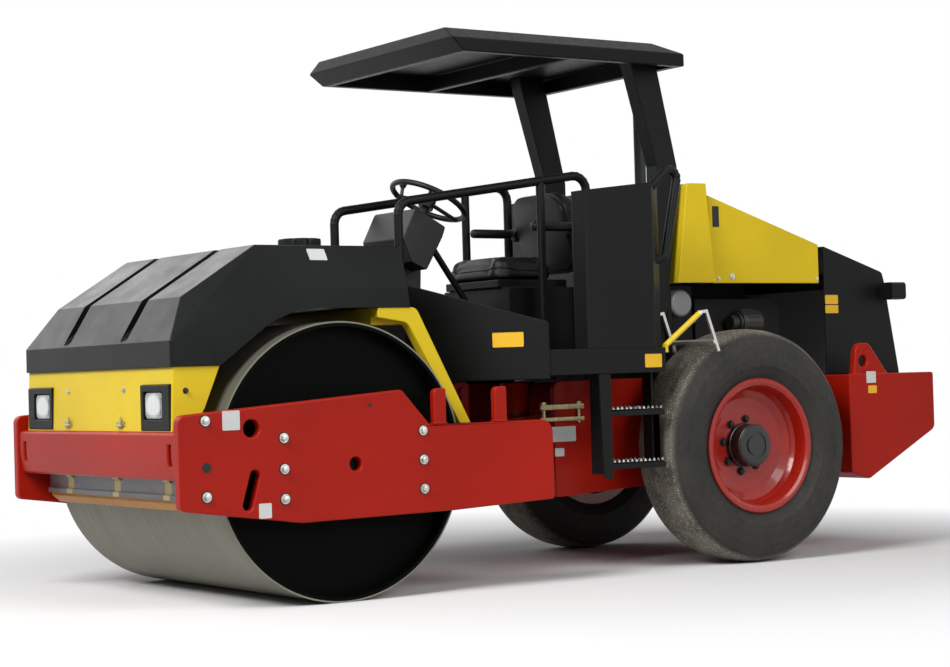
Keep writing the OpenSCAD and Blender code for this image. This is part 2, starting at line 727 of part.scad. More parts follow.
wall_x = [235, 262];
wall_y = 455;
wall_back = -20;
liner_y = 285;
module bulkhead() {
    color(black) {
        block([rear(wall_x[0]), -wall_y, frame_top], [rear(wall_x[1]), wall_y, hood_low]);
        both_sides() block([rear(wall_back), liner_y, engine_z[0]], [rear(wall_x[0]), liner_y + 20, hood_low]);
    }
}
cowl_top = 1906;
cowl_lean = 72;
cowl_back = [20, 67];
module cowl() {
    color(yellow) difference() {
        slab_y(-cowl_y, cowl_y) polygon(shift(rounded(
            [[wall_x[1], hood_low], [wall_x[1] - cowl_lean, cowl_top], [cowl_back[1], cowl_top],
             [cowl_back[0], hood_low]], [0, 24, 0, 0]), axle_x));
        slab_y(-cowl_y + skin_t, cowl_y - skin_t) polygon(shift(
            [[wall_x[1] - 25, hood_low - 1], [wall_x[1] - cowl_lean - 25, cowl_top - skin_t],
             [-50, cowl_top - skin_t], [-50, hood_low - 1]], axle_x));
    }
}
hood_front = [0, 30];
hood_high = [1850, 1606];
hood_back = -718;
hinge = [-735, 1586];
hinge_pin_r = 7;
knuckle_r = 14;
knuckles = [-330, 330];
knuckle_w = 90;
module hood() {
    color(yellow) {
        difference() {
            slab_y(-hood_y, hood_y) polygon(shift(
                [[hood_front[0], hood_low], [hood_front[1], hood_high[0]], [hood_back, hood_high[1]],
                 [hood_back, hood_low]], axle_x));
            slab_y(-hood_y + skin_t, hood_y - skin_t) polygon(shift(
                [[hood_front[1] + 99, hood_low - 1], [hood_front[1] + 99, hood_high[0] + 33 - skin_t],
                 [hood_back - 1, hood_high[1] - skin_t], [hood_back - 1, hood_low - 1]], axle_x));
        }
        for (y = knuckles) difference() {
            union() {
                rod_y(rear(hinge[0]), hinge[1], knuckle_r, y - knuckle_w / 2, y + knuckle_w / 2);
                slab_y(y - knuckle_w / 2, y + knuckle_w / 2) polygon(shift(
                    [[hinge[0], hinge[1] + knuckle_r], [hood_back + 30, hood_high[1] - 5],
                     [hood_back + 30, hood_high[1] - 30], [hinge[0], hinge[1] - knuckle_r]], axle_x));
            }
            rod_y(rear(hinge[0]), hinge[1], hinge_pin_r + run_gap, y - knuckle_w, y + knuckle_w);
        }
    }
}
engine_x = [-640, -60];
engine_y = 280;
engine_z = [880, 1330];
module engine() {
    color("#2b2d2f") translate([axle_x, 0, 0]) {
        block([engine_x[0], -frame_y, frame_top], [engine_x[1], frame_y, engine_z[0]]);
        block([engine_x[0], -engine_y, engine_z[0]], [engine_x[1], engine_y, engine_z[1]]);
    }
}
exhaust_at = [130, 100];
exhaust_r = 30;
exhaust_top = 2370;
module exhaust() {
    color(black) translate([rear(exhaust_at[0]), exhaust_at[1], cowl_top]) difference() {
        cylinder(r = exhaust_r, h = exhaust_top - cowl_top);
        translate([0, 0, 60]) cylinder(r = exhaust_r - 4, h = 600);
    }
}
cleaner_r = 70;
module air_cleaner() {
    color("#8f9397") rod_y(rear(wall_x[0] - cleaner_r), 1303, cleaner_r, liner_y + 20, 452);
}
strut_foot = [sill_x[0] - 8, floor_z + 7];
strut_top = [396, tyre_d + 82];
arm_t = 12;
arm_y = [post_y[1] + 12, tyre_y + tyre_w / 2 + 6];
strut_r = 14;
arm_outline = [for (q = [[405, 76], [405, 90], [356, 96], [282, -106], [297, -110], [366, 80]]) [q[0], tyre_d + q[1]]];
wiper_at = [312, tyre_d - 60];
wiper_r = 12;
module tyre_scrapers() {
    color(yellow) both_sides() translate([axle_x, 0, 0]) {
        for (y = arm_y) slab_y(y, y + arm_t) polygon(arm_outline);
        rod_y(wiper_at[0], wiper_at[1], wiper_r, arm_y[0], arm_y[1] + arm_t);
        for (y = [arm_y[0] + arm_t / 2, arm_y[1] + arm_t / 2]) {
            foot_y = min(y, floor_y - 14);
            bar([strut_foot[0], foot_y, strut_foot[1]], [strut_top[0], y, strut_top[1]], strut_r);
            block([sill_x[0] - 16, foot_y - 14, floor_under + 2], [sill_x[0], foot_y + 14, strut_foot[1] + 8]);
        }
    }
}
shroud_y = 520;
shroud_front = -752;
shroud_outline = [[shroud_front, 1598], [-1172, 1462], [-1186, 1420], [-1280, weight_top], [shroud_front, weight_top]];
module radiator() {
    color("#3a3c3e") block([rear(-1080), -420, weight_top], [rear(-1000), 420, 1380]);
}
vent_rows = 9;
vent_z = [980, 1370];
module rear_shroud() {
    pitch = (vent_z[1] - vent_z[0]) / (vent_rows - 1);
    color(black) {
        difference() {
            slab_y(-shroud_y, shroud_y) polygon(shift(rounded(shroud_outline, [0, 30, 30, 0, 0]), axle_x));
            slab_y(-shroud_y + skin_t, shroud_y - skin_t) polygon(shift(
                [[shroud_front + 1, 1598 - skin_t], [-1165, 1462 - skin_t], [-1170, 1418],
                 [-1264, weight_top - 1], [shroud_front + 1, weight_top - 1]], axle_x));
            for (i = [0:vent_rows - 1])
                block([rear(-1300), -400, vent_z[0] + i * pitch - 11], [rear(-1120), 400, vent_z[0] + i * pitch + 11]);
        }
        rod_y(rear(hinge[0]), hinge[1], hinge_pin_r, -450, 450);
        both_sides() block([rear(shroud_front - 30), 400, hinge[1] - 18], [rear(hinge[0] + 10), 430, hinge[1] - 5]);
    }
}
rear_lamp_x = [-1228, -1126];
rear_lamp_z = [1310, 1402];
rear_lamp_y = 550;
rear_lamp_w = 92;
module rear_lamps() {
    mid_z = (rear_lamp_z[0] + rear_lamp_z[1]) / 2;
    color(black) both_sides() translate([axle_x, 0, 0]) {
        block([rear_lamp_x[0] + 60, shroud_y, mid_z - 16], [rear_lamp_x[1] - 12, rear_lamp_y, mid_z + 16]);
        slab_x(rear_lamp_x[0], rear_lamp_x[1]) polygon(rounded(
            [[rear_lamp_y, rear_lamp_z[0]], [rear_lamp_y + rear_lamp_w, rear_lamp_z[0]],
             [rear_lamp_y + rear_lamp_w, rear_lamp_z[1]], [rear_lamp_y, rear_lamp_z[1]]], [18, 18, 18, 18]));
    }
}

// Wheels

bead_gap = 0.3;
// Half of the tyre's section: radius and half width shares worked out from its size
tyre_wall = (tyre_d - bead_d) / 2;
tyre_half = [
    [bead_d / 2 + bead_gap, 122], [bead_d / 2 + tyre_wall * 0.13, 126], [bead_d / 2 + tyre_wall * 0.33, tyre_w / 2 - 4],
    [bead_d / 2 + tyre_wall * 0.47, tyre_w / 2], [tyre_d / 2 - tyre_wall * 0.33, tyre_w / 2 - 3],
    [tyre_d / 2 - tyre_wall * 0.15, tyre_w / 2 - 16], [tyre_d / 2 - tyre_wall * 0.05, tyre_w / 2 - 45],
    [tyre_d / 2 - 4, tyre_w / 2 - 85], [tyre_d / 2, 30]];
module tyre() {
    color("#2a2a2a") translate([axle_x, tyre_y, axle_z]) rotate([-90, 0, 0])
        rotate_extrude($fn = 96) polygon(concat(
            tyre_half, [for (i = [len(tyre_half) - 1:-1:0]) [tyre_half[i][0], -tyre_half[i][1]]]));
}
flange_h = 29;
module rim() {
    bead = bead_d / 2;
    bore = axle_d / 2 + run_gap;
    color(red) translate([axle_x, tyre_y, axle_z]) rotate([-90, 0, 0]) rotate_extrude($fn = 96) polygon(
        [[bore, -60], [115, -60], [125, -24], [232, -8], [bead - 26, 34], [bead - 26, -140], [bead + flange_h, -140],
         [bead + flange_h, -128], [bead, -126], [bead, 126], [bead + flange_h, 128], [bead + flange_h, 136],
         [bead + flange_h - 5, 140], [bead + 8, 140], [bead - 6, 132], [bead - 12, 110], [bead - 16, 66],
         [bead - 32, 40], [236, 14], [190, 4], [130, 0], [bore, 0]]);
}
module rim_left() { rim(); }
module rim_right() { mirror([0, 1, 0]) rim(); }
module tyre_left() { tyre(); }
module tyre_right() { mirror([0, 1, 0]) tyre(); }

side_plate_left();
side_plate_right();
front_beam();
rear_beam();
front_cover();
lamp_bezels();
head_lamps();
water_tank();
filler_cap();
tank_legs();
front_scraper();
scraper_blade();
drum_carriers();
drum();
hitch();
cylinder_left();
rod_left();
cylinder_right();
rod_right();
rear_frame();
lock_link();
rear_axle();
counterweight();
platform();
platform_panels();
steps();
side_tanks();
handrails();
console();
steering_wheel();
seat_base();
seat_cushion();
seat_back();
rops_posts();
roof();
bulkhead();
cowl();
hood();
engine();
exhaust();
air_cleaner();
tyre_scrapers();
radiator();
rear_shroud();
rear_lamps();
rim_left();
tyre_left();
rim_right();
tyre_right();
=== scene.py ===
from math import cos, exp, pi, radians, sin

import bpy
from mathutils import Matrix, Vector


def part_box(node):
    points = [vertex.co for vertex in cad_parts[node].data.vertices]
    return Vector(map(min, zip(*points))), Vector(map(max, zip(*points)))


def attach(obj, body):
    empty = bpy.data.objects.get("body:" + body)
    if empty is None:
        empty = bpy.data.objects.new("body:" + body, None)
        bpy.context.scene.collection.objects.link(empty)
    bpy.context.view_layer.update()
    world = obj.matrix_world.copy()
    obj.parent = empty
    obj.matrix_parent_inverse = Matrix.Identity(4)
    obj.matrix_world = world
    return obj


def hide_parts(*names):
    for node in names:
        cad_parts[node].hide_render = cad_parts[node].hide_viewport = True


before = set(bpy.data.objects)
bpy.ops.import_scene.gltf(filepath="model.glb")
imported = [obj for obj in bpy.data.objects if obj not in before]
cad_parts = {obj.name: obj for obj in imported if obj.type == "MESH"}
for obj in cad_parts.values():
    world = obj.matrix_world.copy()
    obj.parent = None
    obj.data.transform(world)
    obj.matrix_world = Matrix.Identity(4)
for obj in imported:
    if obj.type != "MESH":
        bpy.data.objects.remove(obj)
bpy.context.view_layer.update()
scene = bpy.context.scene
scene.view_settings.view_transform = "Standard"

# Camera
# It stands off the machine's front left corner at waist height, with a long lens,
# so that drum, platform and tyre are all in view and the roof is seen from below.
camera_place = (6.152, 8.929, 0.962)
turn = radians(146.20)
rise = radians(-1.145)
roll = radians(-1.65)
away = Vector((sin(turn) * cos(rise), -cos(turn) * cos(rise), sin(rise)))
level_right = (-away).cross(Vector((0, 0, 1))).normalized()
level_up = level_right.cross(-away)
camera_right = level_right * cos(roll) + level_up * sin(roll)
camera_up = level_up * cos(roll) - level_right * sin(roll)
lens = bpy.data.cameras.new("camera")
lens.sensor_fit = "HORIZONTAL"
lens.sensor_width = 36
lens.lens = 81.53
camera = bpy.data.objects.new("camera", lens)
scene.collection.objects.link(camera)
camera.matrix_world = (Matrix.Translation(camera_place)
                       @ Matrix((camera_right, camera_up, away)).transposed().to_4x4())
scene.camera = camera


# Floor and light
# A pale studio floor that fades to white, one large soft lamp high at the front left,
# a weaker one at the left, another on the far side, and an even white room round them.
class Shade:
    """A shader value that adds, scales and compares like a number."""

    def __init__(self, finish, socket):
        self.finish = finish
        self.socket = socket

    def math(self, operation, a, b=0.0):
        return self.finish.add("ShaderNodeMath", {"operation": operation}, {0: a, 1: b})

    def __add__(self, other):
        return self.math("ADD", self, other)

    def __mul__(self, other):
        return self.math("MULTIPLY", self, other)

    def __sub__(self, other):
        return self.math("SUBTRACT", self, other)

    def __rsub__(self, other):
        return self.math("SUBTRACT", other, self)

    def __gt__(self, other):
        return self.math("GREATER_THAN", self, other)

    def __lt__(self, other):
        return self.math("LESS_THAN", self, other)

    def __abs__(self):
        return self.math("ABSOLUTE", self)

    __radd__ = __add__
    __rmul__ = __mul__


class Finish:
    """A material whose nodes are added one by one and wired as they are made."""

    def __init__(self, name):
        self.material = bpy.data.materials.new(name)
        self.material.use_nodes = True
        self.tree = self.material.node_tree
        self.shader = self.tree.nodes["Principled BSDF"]
        self.output = self.tree.nodes["Material Output"]

    def put(self, socket, value):
        if isinstance(value, Shade):
            self.tree.links.new(value.socket, socket)
        else:
            socket.default_value = value

    def add(self, kind, settings=None, sockets=None, out=0):
        node = self.tree.nodes.new(kind)
        for name, value in (settings or {}).items():
            if name == "stops":
                ramp = node.color_ramp
                while len(ramp.elements) < len(value):
                    ramp.elements.new(1.0)
                for element, (place, shade) in zip(ramp.elements, value):
                    element.position = place
                    element.color = (shade, shade, shade, 1)
            else:
                setattr(node, name, value)
        for name, value in (sockets or {}).items():
            self.put(node.inputs[name], value)
        return Shade(self, node.outputs[out])

    def surface(self, **sockets):
        for name, value in sockets.items():
            self.put(self.shader.inputs[name.replace("_", " ")], value)
        return self

    def here(self):
        return self.add("ShaderNodeTexCoord", out=3)

    def axis(self, which):
        return self.add("ShaderNodeSeparateXYZ", None, {0: self.here()}, out="XYZ".index(which))

    def grain(self, scale, detail=3.0, stretch=(1, 1, 1), rough=0.5):
        place = self.add("ShaderNodeMapping", None, {"Vector": self.here(), "Scale": stretch})
        return self.add("ShaderNodeTexNoise", None,
                        {"Vector": place, "Scale": scale, "Detail": detail, "Roughness": rough})

    def cells(self, scale):
        return self.add("ShaderNodeTexVoronoi", None, {"Vector": self.here(), "Scale": scale})

    def stripes(self, scale):
        return self.add("ShaderNodeTexWave", {"bands_direction": "Y"},
                        {"Vector": self.here(), "Scale": scale, "Distortion": 0.0})

    def ramp(self, value, *stops):
        return self.add("ShaderNodeValToRGB", {"stops": stops}, {0: value})

    def between(self, factor, first, second):
        return self.add("ShaderNodeMix", {"data_type": "RGBA"}, {0: factor, 6: first, 7: second}, out=2)

    def mottle(self, pattern, low, high, first, second):
        return self.between(self.ramp(pattern, (low, 0.0), (high, 1.0)), first, second)

    def bump(self, height, strength, distance=0.001):
        return self.add("ShaderNodeBump", None,
                        {"Height": height, "Strength": strength, "Distance": distance})


floor_paper = Finish("floor_paper")
seen_rays = ("Is Camera Ray", "Is Glossy Ray", "Is Transmission Ray")
rays = floor_paper.tree.nodes.new("ShaderNodeLightPath")
camera_ray, glossy_ray, glass_ray = (Shade(floor_paper, rays.outputs[kind]) for kind in seen_rays)
out_from_middle = floor_paper.add("ShaderNodeVectorMath", {"operation": "LENGTH"},
                                  {0: floor_paper.here()}, out=1)
fade = floor_paper.ramp(out_from_middle * 0.1, (0.22, 0.0), (0.46, 1.0))
paper = floor_paper.add("ShaderNodeBsdfDiffuse", None, {"Color": (0.88, 0.88, 0.88, 1)})
glow = floor_paper.add("ShaderNodeEmission", None,
                       {"Color": (1, 1, 1, 1), "Strength": camera_ray + glossy_ray + glass_ray})
floor_paper.put(floor_paper.output.inputs[0],
                floor_paper.add("ShaderNodeMixShader", None, {0: fade, 1: paper, 2: glow}))
bpy.ops.object.select_all(action="DESELECT")
bpy.ops.mesh.primitive_circle_add(vertices=96, radius=150, fill_type="NGON")
floor = bpy.context.object
floor.name = "floor"
floor.data.materials.append(floor_paper.material)

room = bpy.data.worlds.new("room")
room.use_nodes = True
scene.world = room
room_nodes = room.node_tree.nodes
room_links = room.node_tree.links
room_light = room_nodes["Background"]
room_light.inputs["Color"].default_value = (0.95, 0.97, 1, 1)
room_light.inputs["Strength"].default_value = 0.15
white_room = room_nodes.new("ShaderNodeBackground")
white_room.inputs["Color"].default_value = (1, 1, 1, 1)
room_rays = room_nodes.new("ShaderNodeLightPath")
seen_straight = room_rays.outputs[seen_rays[0]]
for kind in seen_rays[1:]:
    either = room_nodes.new("ShaderNodeMath")
    room_links.new(seen_straight, either.inputs[0])
    room_links.new(room_rays.outputs[kind], either.inputs[1])
    seen_straight = either.outputs[0]
room_mix = room_nodes.new("ShaderNodeMixShader")
room_links.new(seen_straight, room_mix.inputs[0])
room_links.new(room_light.outputs[0], room_mix.inputs[1])
room_links.new(white_room.outputs[0], room_mix.inputs[2])
room_links.new(room_mix.outputs[0], room_nodes["World Output"].inputs[0])


def soft_lamp(name, place, aim, wide, high, watts):
    light = bpy.data.lights.new(name, "AREA")
    light.shape = "RECTANGLE"
    light.size = wide
    light.size_y = high
    light.energy = watts
    lamp = bpy.data.objects.new(name, light)
    scene.collection.objects.link(lamp)
    lamp.location = place
    lamp.rotation_euler = (Vector(aim) - Vector(place)).to_track_quat("-Z", "Y").to_euler()


soft_lamp("key_lamp", (8.0, 3.2, 7.0), (0.6, 0, 0.9), 4.5, 4.5, 985)
soft_lamp("side_lamp", (-1.0, 9.0, 5.0), (-0.4, 0, 1.0), 5.0, 5.0, 385)
soft_lamp("far_lamp", (2.4, -9.5, 5.3), (1.6, 0, 1.2), 9.0, 5.0, 200)


# Drum frame
# Thick side plates, beams, rear frame and counterweight of flame-cut and welded plate, edges ground round.
# They are sprayed, like the hitch, in deep red enamel with a faint orange peel, fine scuffs and dust on top.
def enamel(name, colour, dust, gloss=0.26, coat=0.45, shine=0.5):
    finish = Finish(name)
    fine = finish.grain(48, 4, rough=0.6)
    up = finish.add("ShaderNodeSeparateXYZ", None, {0: finish.add("ShaderNodeNewGeometry", out=1)}, out=2)
    deep = tuple(c * 0.92 for c in colour) + (1,)
    bright = tuple(min(1, c * 1.06) for c in colour) + (1,)
    tone = finish.mottle(finish.grain(1.7, 3), 0.35, 0.7, deep, bright)
    settled = finish.ramp(up, (0.6, 0.0), (0.98, 0.15)) * finish.ramp(fine, (0.38, 0.15), (0.7, 1.0))
    scuffs = finish.ramp(finish.grain(85, 5, (1, 1, 5)), (0.70, 0.0), (0.78, 0.14))
    tone = finish.between(settled + scuffs, tone, dust + (1,))
    return finish.surface(Base_Color=tone, Coat_Weight=coat, Coat_Roughness=0.07, Specular_IOR_Level=shine,
                          Roughness=finish.ramp(fine, (0.3, gloss), (0.75, gloss + 0.12)) + settled,
                          Normal=finish.bump(finish.grain(380, 2), 0.04))


def paint(finish, *names):
    for name in names:
        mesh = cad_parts[name].data
        mesh.materials.clear()
        mesh.materials.append(finish.material)


def ground_edges(width, *names, sharper_than=32, clamp=False):
    for name in names:
        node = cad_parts[name]
        weld = node.modifiers.new("weld", "WELD")
        weld.merge_threshold = 0.00005
        sheet = node.modifiers.new("sheet", "DECIMATE")
        sheet.decimate_type = "DISSOLVE"
        sheet.angle_limit = radians(0.4)
        edge = node.modifiers.new("ground_edges", "BEVEL")
        edge.width = width
        edge.segments = 3
        edge.limit_method = "ANGLE"
        edge.angle_limit = radians(sharper_than)
        edge.use_clamp_overlap = clamp
        edge.harden_normals = True


red_enamel = enamel("red_enamel", (0.365, 0.0105, 0.0035), dust=(0.28, 0.05, 0.03),
                    gloss=0.32, coat=0.06, shine=0.14)
paint(red_enamel, "side_plate_left", "side_plate_right", "front_beam", "rear_beam", "hitch", "rear_frame",
      "counterweight")
ground_edges(0.008, "side_plate_left", "side_plate_right", "front_beam", "counterweight")
ground_edges(0.004, "rear_frame", "rear_beam")


# Fasteners
# Zinc-plated hexagon bolts on round washers hold the bearing housings, the beams and the counterweight.
def select_faces(test):
    bpy.ops.mesh.select_mode(type="FACE")
    bpy.ops.mesh.select_all(action="DESELECT")
    bpy.ops.object.mode_set(mode="OBJECT")
    for face in bpy.context.object.data.polygons:
        face.select = bool(test(face))
    bpy.ops.object.mode_set(mode="EDIT")


def select_edges(test):
    bpy.ops.mesh.select_mode(type="EDGE")
    bpy.ops.mesh.select_all(action="DESELECT")
    bpy.ops.object.mode_set(mode="OBJECT")
    mesh = bpy.context.object.data
    for edge in mesh.edges:
        ends = [mesh.vertices[v].co for v in edge.vertices]
        edge.select = bool(test((ends[0] + ends[1]) / 2, (ends[1] - ends[0]).normalized()))
    bpy.ops.object.mode_set(mode="EDIT")


def begin(kind, **sizes):
    bpy.ops.object.select_all(action="DESELECT")
    getattr(bpy.ops.mesh, "primitive_%s_add" % kind)(**sizes)
    bpy.ops.object.transform_apply(location=True, rotation=True, scale=True)
    bpy.ops.object.mode_set(mode="EDIT")


def raise_face(test, inset, lift):
    select_faces(test)
    if inset:
        bpy.ops.mesh.inset(thickness=inset)
    if lift:
        bpy.ops.mesh.extrude_region_move(TRANSFORM_OT_translate={"value": (0, 0, lift)})


def close(name, finish, body=None, smooth=35, place=None):
    bpy.ops.object.mode_set(mode="OBJECT")
    piece = bpy.context.object
    bpy.ops.object.transform_apply(location=True, rotation=True, scale=True)
    bpy.ops.object.shade_smooth_by_angle(angle=radians(smooth))
    piece.name = name
    piece.data.name = name
    piece.data.materials.clear()
    piece.data.materials.append(finish.material)
    if place is not None:
        piece.data.transform(place)
    if body:
        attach(piece, body)
    return piece


def copies(pattern, name, places, finish, body):
    bpy.ops.object.select_all(action="DESELECT")
    for place in places:
        mesh = pattern.data.copy()
        mesh.transform(place)
        if place.determinant() < 0:
            mesh.flip_normals()
        twin = bpy.data.objects.new(name, mesh)
        scene.collection.objects.link(twin)
        twin.select_set(True)
        bpy.context.view_layer.objects.active = twin
    if len(places) > 1:
        bpy.ops.object.join()
    return close(name, finish, body)


def facing(axis, spot, spin=0.0, scale=1.0):
    turned = Vector((0, 0, 1)).rotation_difference(Vector(axis)).to_matrix().to_4x4()
    return Matrix.Translation(spot) @ turned @ Matrix.Rotation(spin, 4, "Z") @ Matrix.Scale(scale, 4)


zinc = Finish("zinc_plate")
zinc.surface(Base_Color=zinc.mottle(zinc.grain(60, 4), 0.35, 0.7,
                                    (0.42, 0.41, 0.38, 1), (0.66, 0.65, 0.62, 1)),
             Metallic=0.85, Roughness=zinc.ramp(zinc.grain(300, 3), (0.3, 0.28), (0.7, 0.45)))
bolt_span, washer_t, head_t = 0.026, 0.004, 0.014
begin("cylinder", vertices=32, radius=bolt_span * 0.82, depth=washer_t, location=(0, 0, washer_t / 2))
bpy.ops.mesh.primitive_cylinder_add(vertices=6, radius=bolt_span * 0.58, depth=head_t,
                                    location=(0, 0, washer_t + head_t / 2))
select_faces(lambda f: f.normal.z > 0.9 and f.center.z > washer_t + head_t - 0.001)
bpy.ops.mesh.bevel(offset=0.0025, segments=2)
bolt = close("bolt_pattern", zinc)
sides = ((1, "left"), (-1, "right"))
plate_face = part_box("side_plate_left")[1].y
plate_bolts = [(2.134, 0.810), (2.134, 0.494), (1.766, 0.725), (1.766, 0.594), (1.766, 0.467),
               (1.068, 0.731), (1.068, 0.603), (1.068, 0.474)]
for side, name in sides:
    copies(bolt, "plate_bolts_" + name,
           [facing((0, side, 0), (x, side * plate_face, z), i * 0.4)
            for i, (x, z) in enumerate(plate_bolts)],
           zinc, "front_frame")
weight_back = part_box("counterweight")[0].x
copies(bolt, "weight_bolts", [facing((-1, 0, 0), (weight_back, y, z), y, 1.2)
                              for y in (-0.55, -0.2, 0.2, 0.55) for z in (0.70, 0.86)],
       zinc, "rear_frame")


# Bolt wells and painted shade
# Shallow wells in each side plate, lined black as painted shade. One holds a sunk socket screw, one is a
# small hole painted dark, and the others lie round the bolts as a painted shadow round each bolt head.
def middle_face(least_area=0.0):
    return lambda f: f.normal.z > 0.9 and f.center.xy.length < 0.002 and f.area > least_area


black_iron = Finish("black_oxide")
black_iron.surface(Base_Color=black_iron.mottle(black_iron.grain(120, 4), 0.35, 0.7,
                                                (0.006, 0.006, 0.006, 1), (0.02, 0.019, 0.018, 1)),
                   Roughness=0.5, Specular_IOR_Level=0.3)
begin("cylinder", vertices=32, radius=0.021, depth=0.002, location=(0, 0, 0.001))
raise_face(lambda f: f.normal.z > 0.9, 0.005, -0.0012)
raise_face(middle_face(), 0.006, 0.001)
painted_shade_well = close("painted_shade_well_pattern", black_iron)
# Each well is a black disc of painted shade. Round the plate bolts it paints the shadow round the bolt
# heads.
painted_shade_wells = [(2.131, 0.616, 1.0), (1.337, 0.851, 0.45)] + [(x, z, 1.22) for x, z in plate_bolts]
for side, name in sides:
    copies(painted_shade_well, "bolt_wells_" + name,
           [facing((0, side, 0), (x, side * plate_face, z), 0, grow) for x, z, grow in painted_shade_wells],
           black_iron, "front_frame")

# Drum
# A rolled steel shell, ground bright by the road in rings round its axis.
# Its end plates are painted black, out to the shell's bare edge.
drum_low, drum_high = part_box("drum")
drum_r, bare_edge = drum_high.z / 2, 0.007
rolled = Finish("rolled_steel")
rings = rolled.grain(1.0, 4, (1.5, 60, 1.5), 0.55)
from_axis_x = rolled.axis("X") - (drum_low.x + drum_high.x) / 2
from_axis_z = rolled.axis("Z") - drum_r
head = (from_axis_x * from_axis_x + from_axis_z * from_axis_z) < (drum_r - bare_edge) ** 2
steel_tone = rolled.mottle(rings, 0.3, 0.7, (0.155, 0.15, 0.118, 1), (0.235, 0.228, 0.185, 1))
stained = rolled.ramp(rolled.grain(2.2, 4), (0.45, 0.0), (0.8, 0.35))
steel_tone = rolled.between(stained, steel_tone, (0.12, 0.115, 0.085, 1))
rolled.surface(Base_Color=rolled.between(head, steel_tone, (0.0015, 0.0022, 0.0016, 1)),
               Metallic=0.5 - head * 0.5, Specular_IOR_Level=0.03,
               Roughness=rolled.ramp(rings, (0.3, 0.30), (0.7, 0.42)) + head * 0.12,
               Normal=rolled.bump(rings, 0.06))
paint(rolled, "drum")

# Front cover and tank legs
# Folded sheet steel in warm yellow enamel. Screws and two hooked latches hold the cover,
# and a cross plate ties the legs together under the tank.
yellow_enamel = enamel("yellow_enamel", (0.81, 0.58, 0.0165), dust=(0.6, 0.45, 0.1),
                       gloss=0.34, coat=0.04, shine=0.2)
paint(yellow_enamel, "front_cover", "tank_legs")
ground_edges(0.0025, "front_cover")
ground_edges(0.005, "tank_legs")
leg_gap, tie_low, tie_top = 0.725, 1.205, 1.2795
tie_x, tie_long = 1.113, 0.202
begin("cube", size=1, scale=(tie_long, 2 * leg_gap, tie_top - tie_low),
      location=(tie_x, 0, (tie_low + tie_top) / 2))
raise_face(lambda f: f.normal.z < -0.9, 0.006, 0.012)
select_edges(lambda mid, way: abs(way.y) > 0.9)
bpy.ops.mesh.bevel(offset=0.002, segments=2)
close("tank_cross_plate", yellow_enamel, "front_frame")
gilt = Finish("yellow_zinc")
gilt.surface(Base_Color=gilt.mottle(gilt.grain(70, 4), 0.35, 0.7,
                                    (0.36, 0.30, 0.13, 1), (0.56, 0.50, 0.30, 1)),
             Metallic=0.8, Roughness=gilt.ramp(gilt.grain(260, 3), (0.3, 0.32), (0.7, 0.5)))
cover_face = (1, 0, 0.036)
cover_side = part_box("front_cover")[1].y
copies(bolt, "cover_screws", [facing(cover_face, (2.2194, y, 0.948), y, 0.62) for y in (-0.3, 0.3)],
       zinc, "front_frame")
copies(bolt, "cover_side_screws",
       [facing((0, side, 0), (2.16, side * cover_side, 0.938), 0.3, 0.6) for side in (1, -1)],
       black_iron, "front_frame")
begin("cube", size=1, scale=(0.020, 0.078, 0.005), location=(0, 0, 0.0025))
raise_face(lambda f: f.normal.z > 0.9, 0.004, 0.003)
bpy.ops.mesh.primitive_cylinder_add(vertices=20, radius=0.0065, depth=0.05, location=(0.008, 0, 0.009),
                                    rotation=(pi / 2, 0, 0))
bpy.ops.mesh.primitive_cube_add(size=1, scale=(0.034, 0.016, 0.004), location=(-0.014, 0.012, 0.011))
select_edges(lambda mid, way: mid.z > 0.008)
bpy.ops.mesh.bevel(offset=0.0012, segments=2)
latch = close("latch_pattern", gilt)
copies(latch, "cover_latches", [facing(cover_face, (2.2248, y, 0.800)) for y in (-0.295, 0.275)],
       gilt, "front_frame")

# Water tank
# A rotation-moulded polyethylene tank in charcoal, creased and satin, with a fine leathery grain,
# softened edges and a screw cap.
moulding = Finish("charcoal_moulding")
pits = moulding.grain(520, 3)
rubbed = moulding.ramp(moulding.grain(5.5, 6, rough=0.65), (0.35, 0.0), (0.75, 0.14))
moulding.surface(Base_Color=moulding.mottle(moulding.grain(2.4, 4), 0.35, 0.7,
                                            (0.006, 0.007, 0.0068, 1), (0.009, 0.0102, 0.0098, 1)),
                 Roughness=moulding.ramp(pits, (0.3, 0.24), (0.7, 0.34)) + rubbed,
                 Specular_IOR_Level=0.12, Normal=moulding.bump(pits, 0.08))
paint(moulding, "water_tank", "filler_cap")
ground_edges(0.006, "filler_cap")
ground_edges(0.010, "water_tank", sharper_than=9, clamp=True)

# Head lamps
# Square sealed lamps with a crowned, fluted glass, sunk in black moulded bezels.
lens_glass = Finish("lamp_lens")
lamp_y, lamp_z, lamp_seat = 0.601, 0.8775, 2.196
flutes = lens_glass.stripes(24.0)
lamp_across = abs(lens_glass.axis("Y")) - lamp_y
lamp_up = lens_glass.axis("Z") - lamp_z
# The glass is painted darker towards its rim, a painted shade at the edge of the sunk lens.
rim_shade_reach = lamp_across * lamp_across * 150 + lamp_up * lamp_up * 300
# The flutes are painted as light and dark lines on the glass, a painted highlight along each flute.
fluted = lens_glass.between(flutes, (0.58, 0.60, 0.61, 1), (0.86, 0.87, 0.87, 1))
lens_glass.surface(Base_Color=lens_glass.mottle(rim_shade_reach, 0.45, 0.95, fluted, (0.25, 0.26, 0.27, 1)),
                   Metallic=0.2, Roughness=0.10, Coat_Weight=1.0, Normal=lens_glass.bump(flutes, 0.2))
begin("cube", size=1, scale=(0.170, 0.109, 0.026), location=(0, 0, 0.013))
select_edges(lambda mid, way: abs(way.z) > 0.9)
bpy.ops.mesh.bevel(offset=0.026, segments=6)
raise_face(lambda f: f.normal.z > 0.9, 0.005, 0.002)
raise_face(lambda f: f.normal.z > 0.9 and f.area > 0.01, 0.010, 0.003)
glass = close("glass_pattern", lens_glass)


